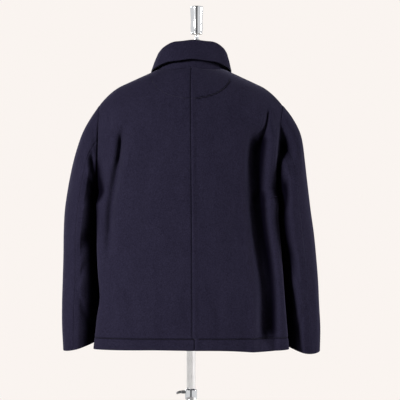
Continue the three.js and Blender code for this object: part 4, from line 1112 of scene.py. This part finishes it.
def lathe(name, profile, steps, material, place=(0, 0, 0)):
    """Turns a profile of (radius, height) pairs about the Z axis. Points on the axis are shared."""
    points, rings = [], []
    for radius, z in profile:
        if radius < 1e-6:
            rings.append([len(points)] * steps)
            points.append((0, 0, z))
            continue
        rings.append(list(range(len(points), len(points) + steps)))
        points += [(radius * math.cos(2 * math.pi * k / steps), radius * math.sin(2 * math.pi * k / steps), z)
                   for k in range(steps)]
    faces = []
    for low, high in zip(rings, rings[1:]):
        for k in range(steps):
            n = (k + 1) % steps
            face = list(dict.fromkeys((low[k], low[n], high[n], high[k])))
            if len(face) > 2:
                faces.append(face)
    if profile[0] == profile[-1]:
        last = rings[-1]
        swap = dict(zip(last, rings[0]))
        faces = [[swap.get(v, v) for v in face] for face in faces]
        points = points[:last[0]]
    made = mesh_object(name, [(Vector(p) + Vector(place)) / 1000 for p in points], faces, material)
    made.data.set_sharp_from_angle(angle=math.radians(SHARP_ANGLE))
    return made


def bored(target, places, radius, depth):
    """Bores straight holes with a boolean and leaves a plain mesh."""
    tool = lathe("drill", [(0, -depth), (radius, -depth), (radius, depth), (0, depth)], 16, HORN)
    for x, y in places:
        tool.location = (x / 1000, y / 1000, 0)
        cut = target.modifiers.new("cut", "BOOLEAN")
        cut.object = tool
        cut.solver = "EXACT"
        made_plain(target)
    bpy.data.objects.remove(tool)
    return target


# %% Buttons
def button_seat(index):
    """Place and outward direction of a button on the left front."""
    grids = PANELS[("front", 1)]
    height = between(0.36, 1.86, index / 4)
    row = int(np.argmin(np.abs(grids["heights"] - height)))
    column = int(np.argmin(np.abs(grids["columns"])))
    place = leaned(grids["outer"])[row, column]
    return Vector(place / 1000), Vector(unit(grids["outer"][row, column] - grids["inner"][row, column]))


HOLES = [(2.1, 2.1), (-2.1, 2.1), (-2.1, -2.1), (2.1, -2.1)]
BUTTON_PROFILE = [
    (0, 0), (9.6, 0), (10.8, 0.35), (11.4, 1.0), (11.5, 1.9), (11.3, 2.9), (10.7, 3.4), (9.9, 3.5), (9.2, 3.2),
    (8.4, 2.6), (6.5, 2.35), (4, 2.3), (0, 2.3),
]
buttons = []
for index in range(5):
    _, out = button_seat(index)
    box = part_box(f"button_{index + 1}")
    middle = (Vector(box[0]) + Vector(box[1])) / 2
    turn = out.to_track_quat("Z", "Y")
    base = middle - out * (BUTTON_THICK / 2000)
    piece = bored(lathe(f"horn_button_{index + 1}", BUTTON_PROFILE, 48, HORN), HOLES, 0.85, 6)
    piece.data.transform(Matrix.Translation(base) @ turn.to_matrix().to_4x4())
    cross = []
    for a, b in ((0, 2), (1, 3)):
        ends = [base + turn @ (Vector((*HOLES[k], 2.5)) / 1000) for k in (a, b)]
        lift = out * 0.0005
        cross.append([ends[0] - out * 0.0012, ends[0], (ends[0] + ends[1]) / 2 + lift, ends[1], ends[1] - out * 0.0012])
    stitches[f"button_thread_{index + 1}"] = sew(
        f"button_thread_{index + 1}", cross, pitch=0.0004, length=0.0011, radius=0.00035,
    )
    buttons.append(piece)

# %% Buttonholes
rims = []
for index in range(5):
    place, out = button_seat(index)
    loop = []
    for k in range(49):
        turn = 2 * math.pi * k / 48
        x = 0.0125 + 0.0105 * math.cos(turn) + place.x
        loop.append((x, -0.5, place.z + 0.0013 * math.sin(turn) * (1.4 if math.cos(turn) < -0.6 else 1)))
    rims.append(chalk(front_tree, loop, (0, 1, 0), 0.0001))
stitches["buttonhole_rims"] = sew("buttonhole_rims", rims, pitch=0.00055, length=0.0012, radius=0.00028)

# %% [markdown]
# ## The dress form
# The form is a hard shell covered with linen. Only its neck shows inside the collar, and its lower edge under the
# hem. It follows the same sections as its solid, with finer rounds, and a fine groove runs down its middle lines
# and its sides.

# %% Trunk
FORM_LEVELS = [
    # z, half width, reach forward, reach back, power of the front half
    (790, 166, 106, 102, 2), (850, 171, 110, 106, 2), (930, 160, 104, 102, 2), (1020, 148, 98, 97, 2),
    (1110, 155, 102, 101, 2), (1200, 166, 105, 104, 2), (1270, 173, 98, 102, 1.9), (1320, 182, 82, 94, 1.8),
    (1352, 186, 66, 82, 1.7), (1376, 182, 55, 72, 1.6), (1392, 0, 51, 66, 1.5), (1406, 0, 44, 59, 1.4),
    (1420, 0, 40, 52, 1.3), (1432, 79, 48, 47, 1.6), (1444, 67, 58, 45, 2), (1464, 60, 60, 44, 2),
    (1494, 57, 59, 43, 2), (1502, 51, 54, 38, 2), (1506, 37, 42, 27, 2),
]
beneath = WOOL * math.hypot(1, SHOULDER_SLOPE) + 0.5


def form_trunk():
    levels = np.array(FORM_LEVELS, float)
    seat = levels[:, 1] == 0
    levels[seat, 1] = np.sqrt(((SHOULDER_TOP_Z - beneath - levels[seat, 0]) / SHOULDER_SLOPE) ** 2 - SHOULDER_ROLL**2)
    heights = np.unique(np.concatenate([np.arange(790, 1506, 6), levels[:, 0]]))
    angle = np.linspace(0, 2 * math.pi, 145)[:-1]
    rows = []
    for z in heights:
        width, front, back, power = (np.interp(z, levels[:, 0], levels[:, k]) for k in range(1, 5))
        power = np.where(np.sin(angle) < 0, power, 2)
        reach = np.where(np.sin(angle) < 0, front, back)
        x, y = width * squared_round(np.cos(angle), power), reach * squared_round(np.sin(angle), power)
        groove = 0.5 * (bell(np.sin(angle), 0.03) + bell(np.cos(angle), 0.03))
        shrink = 1 - groove / 100
        rows.append(np.stack([x * shrink, y * shrink, 0 * angle + z], axis=-1))
    grid = leaned(np.array(rows))
    count, around = grid.shape[:2]
    at = np.arange(count * around).reshape(count, around)
    turn = np.roll(at, -1, axis=1)
    faces = np.stack([at[:-1], turn[:-1], turn[1:], at[1:]], axis=-1).reshape(-1, 4).tolist()
    points = grid.reshape(-1, 3).tolist() + [[0, 0, 790.0], (grid[-1].mean(axis=0) + (0, 0, 1.5)).tolist()]
    bottom, summit = len(points) - 2, len(points) - 1
    faces += [[bottom, int(turn[0, k]), int(at[0, k])] for k in range(around)]
    faces += [[summit, int(at[-1, k]), int(turn[-1, k])] for k in range(around)]
    made = mesh_object("linen_trunk", np.array(points) / 1000, faces, LINEN)
    made.data.set_sharp_from_angle(angle=math.radians(50))
    return made


trunk = form_trunk()
print("trunk:", len(trunk.data.polygons), "faces")

# %% [markdown]
# ## Chromed and enamelled pieces
# Finial, tube, pole and base are turned on a lathe, so each is one profile spun round its axis. Small
# roundings at the corners catch the light as plated metal does. The clamp and lever keep their solids' shapes.

# %% Finial and stand
FINIAL_PLACE = (-14.5, -7.5, 1507.9)
finial = lathe("chrome_finial", [
    (0, 0), (9.6, 0), (10, 0.5), (9, 3), (5.6, 4.4), (4.6, 6), (4.5, 14), (5, 16.6), (6.5, 17.4), (13.4, 17.8),
    (14.4, 18.6), (14.5, 20), (13.7, 21.4), (13.6, 22.6), (14.6, 24.6), (15.2, 28), (15.6, 34), (15.2, 41), (14.8, 48),
    (15.0, 58), (15.4, 66), (16.0, 75), (16.4, 82), (16.5, 85), (16.2, 87.2), (15.2, 88.4), (13.6, 88.9), (0, 89),
], 96, CHROME, FINIAL_PLACE)
base = lathe("enamel_base", [
    (0, 0), (178, 0), (179.4, 0.6), (180, 2), (180, 7), (179.2, 9), (177, 10), (60, 10), (30, 10.4), (26.6, 12),
    (24, 22.6), (22.6, 24), (0, 24),
], 128, ENAMEL)
tube = lathe("chrome_tube", [
    (11.3, 28.3), (11.3, 593.4), (11.7, 594), (12.6, 594), (13, 593.4), (13, 24.9), (12.4, 24.3), (0, 24.3), (0, 28.3),
    (11.3, 28.3),
], 64, CHROME)
pole = lathe("chrome_pole", [
    (0, 300), (10.4, 300), (11, 300.8), (11, 780), (12.4, 781.7), (40, 783.7), (42, 785), (42, 789), (41.3, 789.7),
    (0, 789.7),
], 64, CHROME)
print("turned:", [o.name for o in (finial, base, tube, pole)])


# %% Clamp and lever, finished from their solids
def softened(node, name, material, width):
    """A copy of a solid with its doubles merged and its corners rounded."""
    made = placed(name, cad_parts[node].data.copy())
    weld = made.modifiers.new("weld", "WELD")
    weld.merge_threshold = 0.00001
    bevel = made.modifiers.new("bevel", "BEVEL")
    bevel.width = width
    bevel.segments = 3
    bevel.limit_method = "ANGLE"
    bevel.angle_limit = math.radians(40)
    plain = made_plain(made)
    plain.materials.clear()
    plain.materials.append(material)
    plain.shade_smooth()
    plain.set_sharp_from_angle(angle=math.radians(35))
    return made


clamp = softened("stand_clamp", "chrome_clamp", CHROME, 0.0004)
lever = softened("clamp_lever", "chrome_lever", CHROME, 0.0005)
print("clamp and lever:", len(clamp.data.polygons), len(lever.data.polygons))

# %% [markdown]
# ## Floor
# The floor is a plain pale disc. It isn't part of the coat.

# %% Floor
floor_material, s = new_material("floor_paint")
grain = noise(s, stretched(s, 1, 1, 1), 3, 2)
finished(floor_material, s, Base_Color=mixed(grain, (0.80, 0.77, 0.74, 1), (0.83, 0.80, 0.77, 1)), Roughness=0.8)
floor = lathe("floor", [(0, -2), (2600, -2), (2600, -0.2), (0, -0.2)], 96, floor_material)

# %% [markdown]
# ## Which solid each piece stands for
# Every visual piece takes the place of its solid and rides on the same body.

# %% Riding and replacing
def stand_for(piece, node, body, slot):
    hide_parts(node)
    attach(piece, body)


cloth_nodes = [f"coat_{face}_{side}" for face in ("back", "front") for side in ("left", "right")]
cloth_nodes += [f"sleeve_{side}_{part}" for side in ("left", "right") for part in ("top", "under")]
cloth_nodes += ["collar_top", "collar_under"]
for node in cloth_nodes:
    stand_for(coat["cloth_" + node.removeprefix("coat_")], node, "form", "wool")
for index, piece in enumerate(buttons):
    stand_for(piece, f"button_{index + 1}", "form", "horn")
sewn_pieces = {**stitches, "seam_turnings": turnings}
for piece in sewn_pieces.values():
    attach(piece, "form")
hard_pieces = [
    (trunk, "form_trunk", "form", "linen"), (finial, "form_finial", "form", "chrome"),
    (base, "stand_base", "stand", "enamel"), (tube, "stand_tube", "stand", "chrome"),
    (clamp, "stand_clamp", "stand", "chrome"), (pole, "stand_pole", "pole", "chrome"),
    (lever, "clamp_lever", "lever", "chrome"),
]
for row in hard_pieces:
    stand_for(*row)
print("pieces placed:", len(cloth_nodes) + len(buttons) + len(sewn_pieces) + len(hard_pieces))


# %% [markdown]
# ## The cut of each piece
# Each cut is listed with the size of the flat cloth that shows: the width and length of the rectangle it was cut
# from, its own area and the way it is held. The sizes were read from the shells' own rows, columns and areas, so the
# print shows that they still fit, and proves no more than that.

# %% Cuts
back_pieces = [coat["cloth_back_left"], coat["cloth_back_right"]]
left_pieces = [coat["cloth_back_left"], coat["cloth_front_left"]]
right_pieces = [coat["cloth_back_right"], coat["cloth_front_right"]]
CUTS = {
    # width, length, area, how it is held, what holds it, what is sewn on it
    "cloth_back_left": (0.335, 0.765, 0.208, "hung", [trunk], ["seam_turnings"]),
    "cloth_back_right": (0.340, 0.765, 0.213, "hung", [trunk], ["stitches_half_moon", "stitches_hem"]),
    "cloth_front_left": (0.365, 0.752, 0.213, "hung", [trunk], ["buttonhole_rims"]),
    "cloth_front_right": (0.365, 0.752, 0.206, "hung", [trunk], []),
    "cloth_sleeve_left_top": (0.315, 0.648, 0.121, "hung", left_pieces, []),
    "cloth_sleeve_left_under": (0.250, 0.550, 0.070, "hung", left_pieces, []),
    "cloth_sleeve_right_top": (0.312, 0.648, 0.121, "hung", right_pieces, []),
    "cloth_sleeve_right_under": (0.260, 0.580, 0.076, "hung", right_pieces, []),
    "cloth_collar_under": (0.137, 0.672, 0.061, "folded", back_pieces, []),
    "cloth_collar_top": (0.137, 0.672, 0.058, "folded", [coat["cloth_collar_under"]], []),
}


def cloth_area(piece):
    """Half of the shell's whole area: one face of the cloth, in square metres."""
    return sum(p.area for p in piece.data.polygons) / 2


for name, (width, length, area, held, holds, sewn) in CUTS.items():
    print(name, "cut", area, "shell", round(cloth_area(coat[name]), 4))
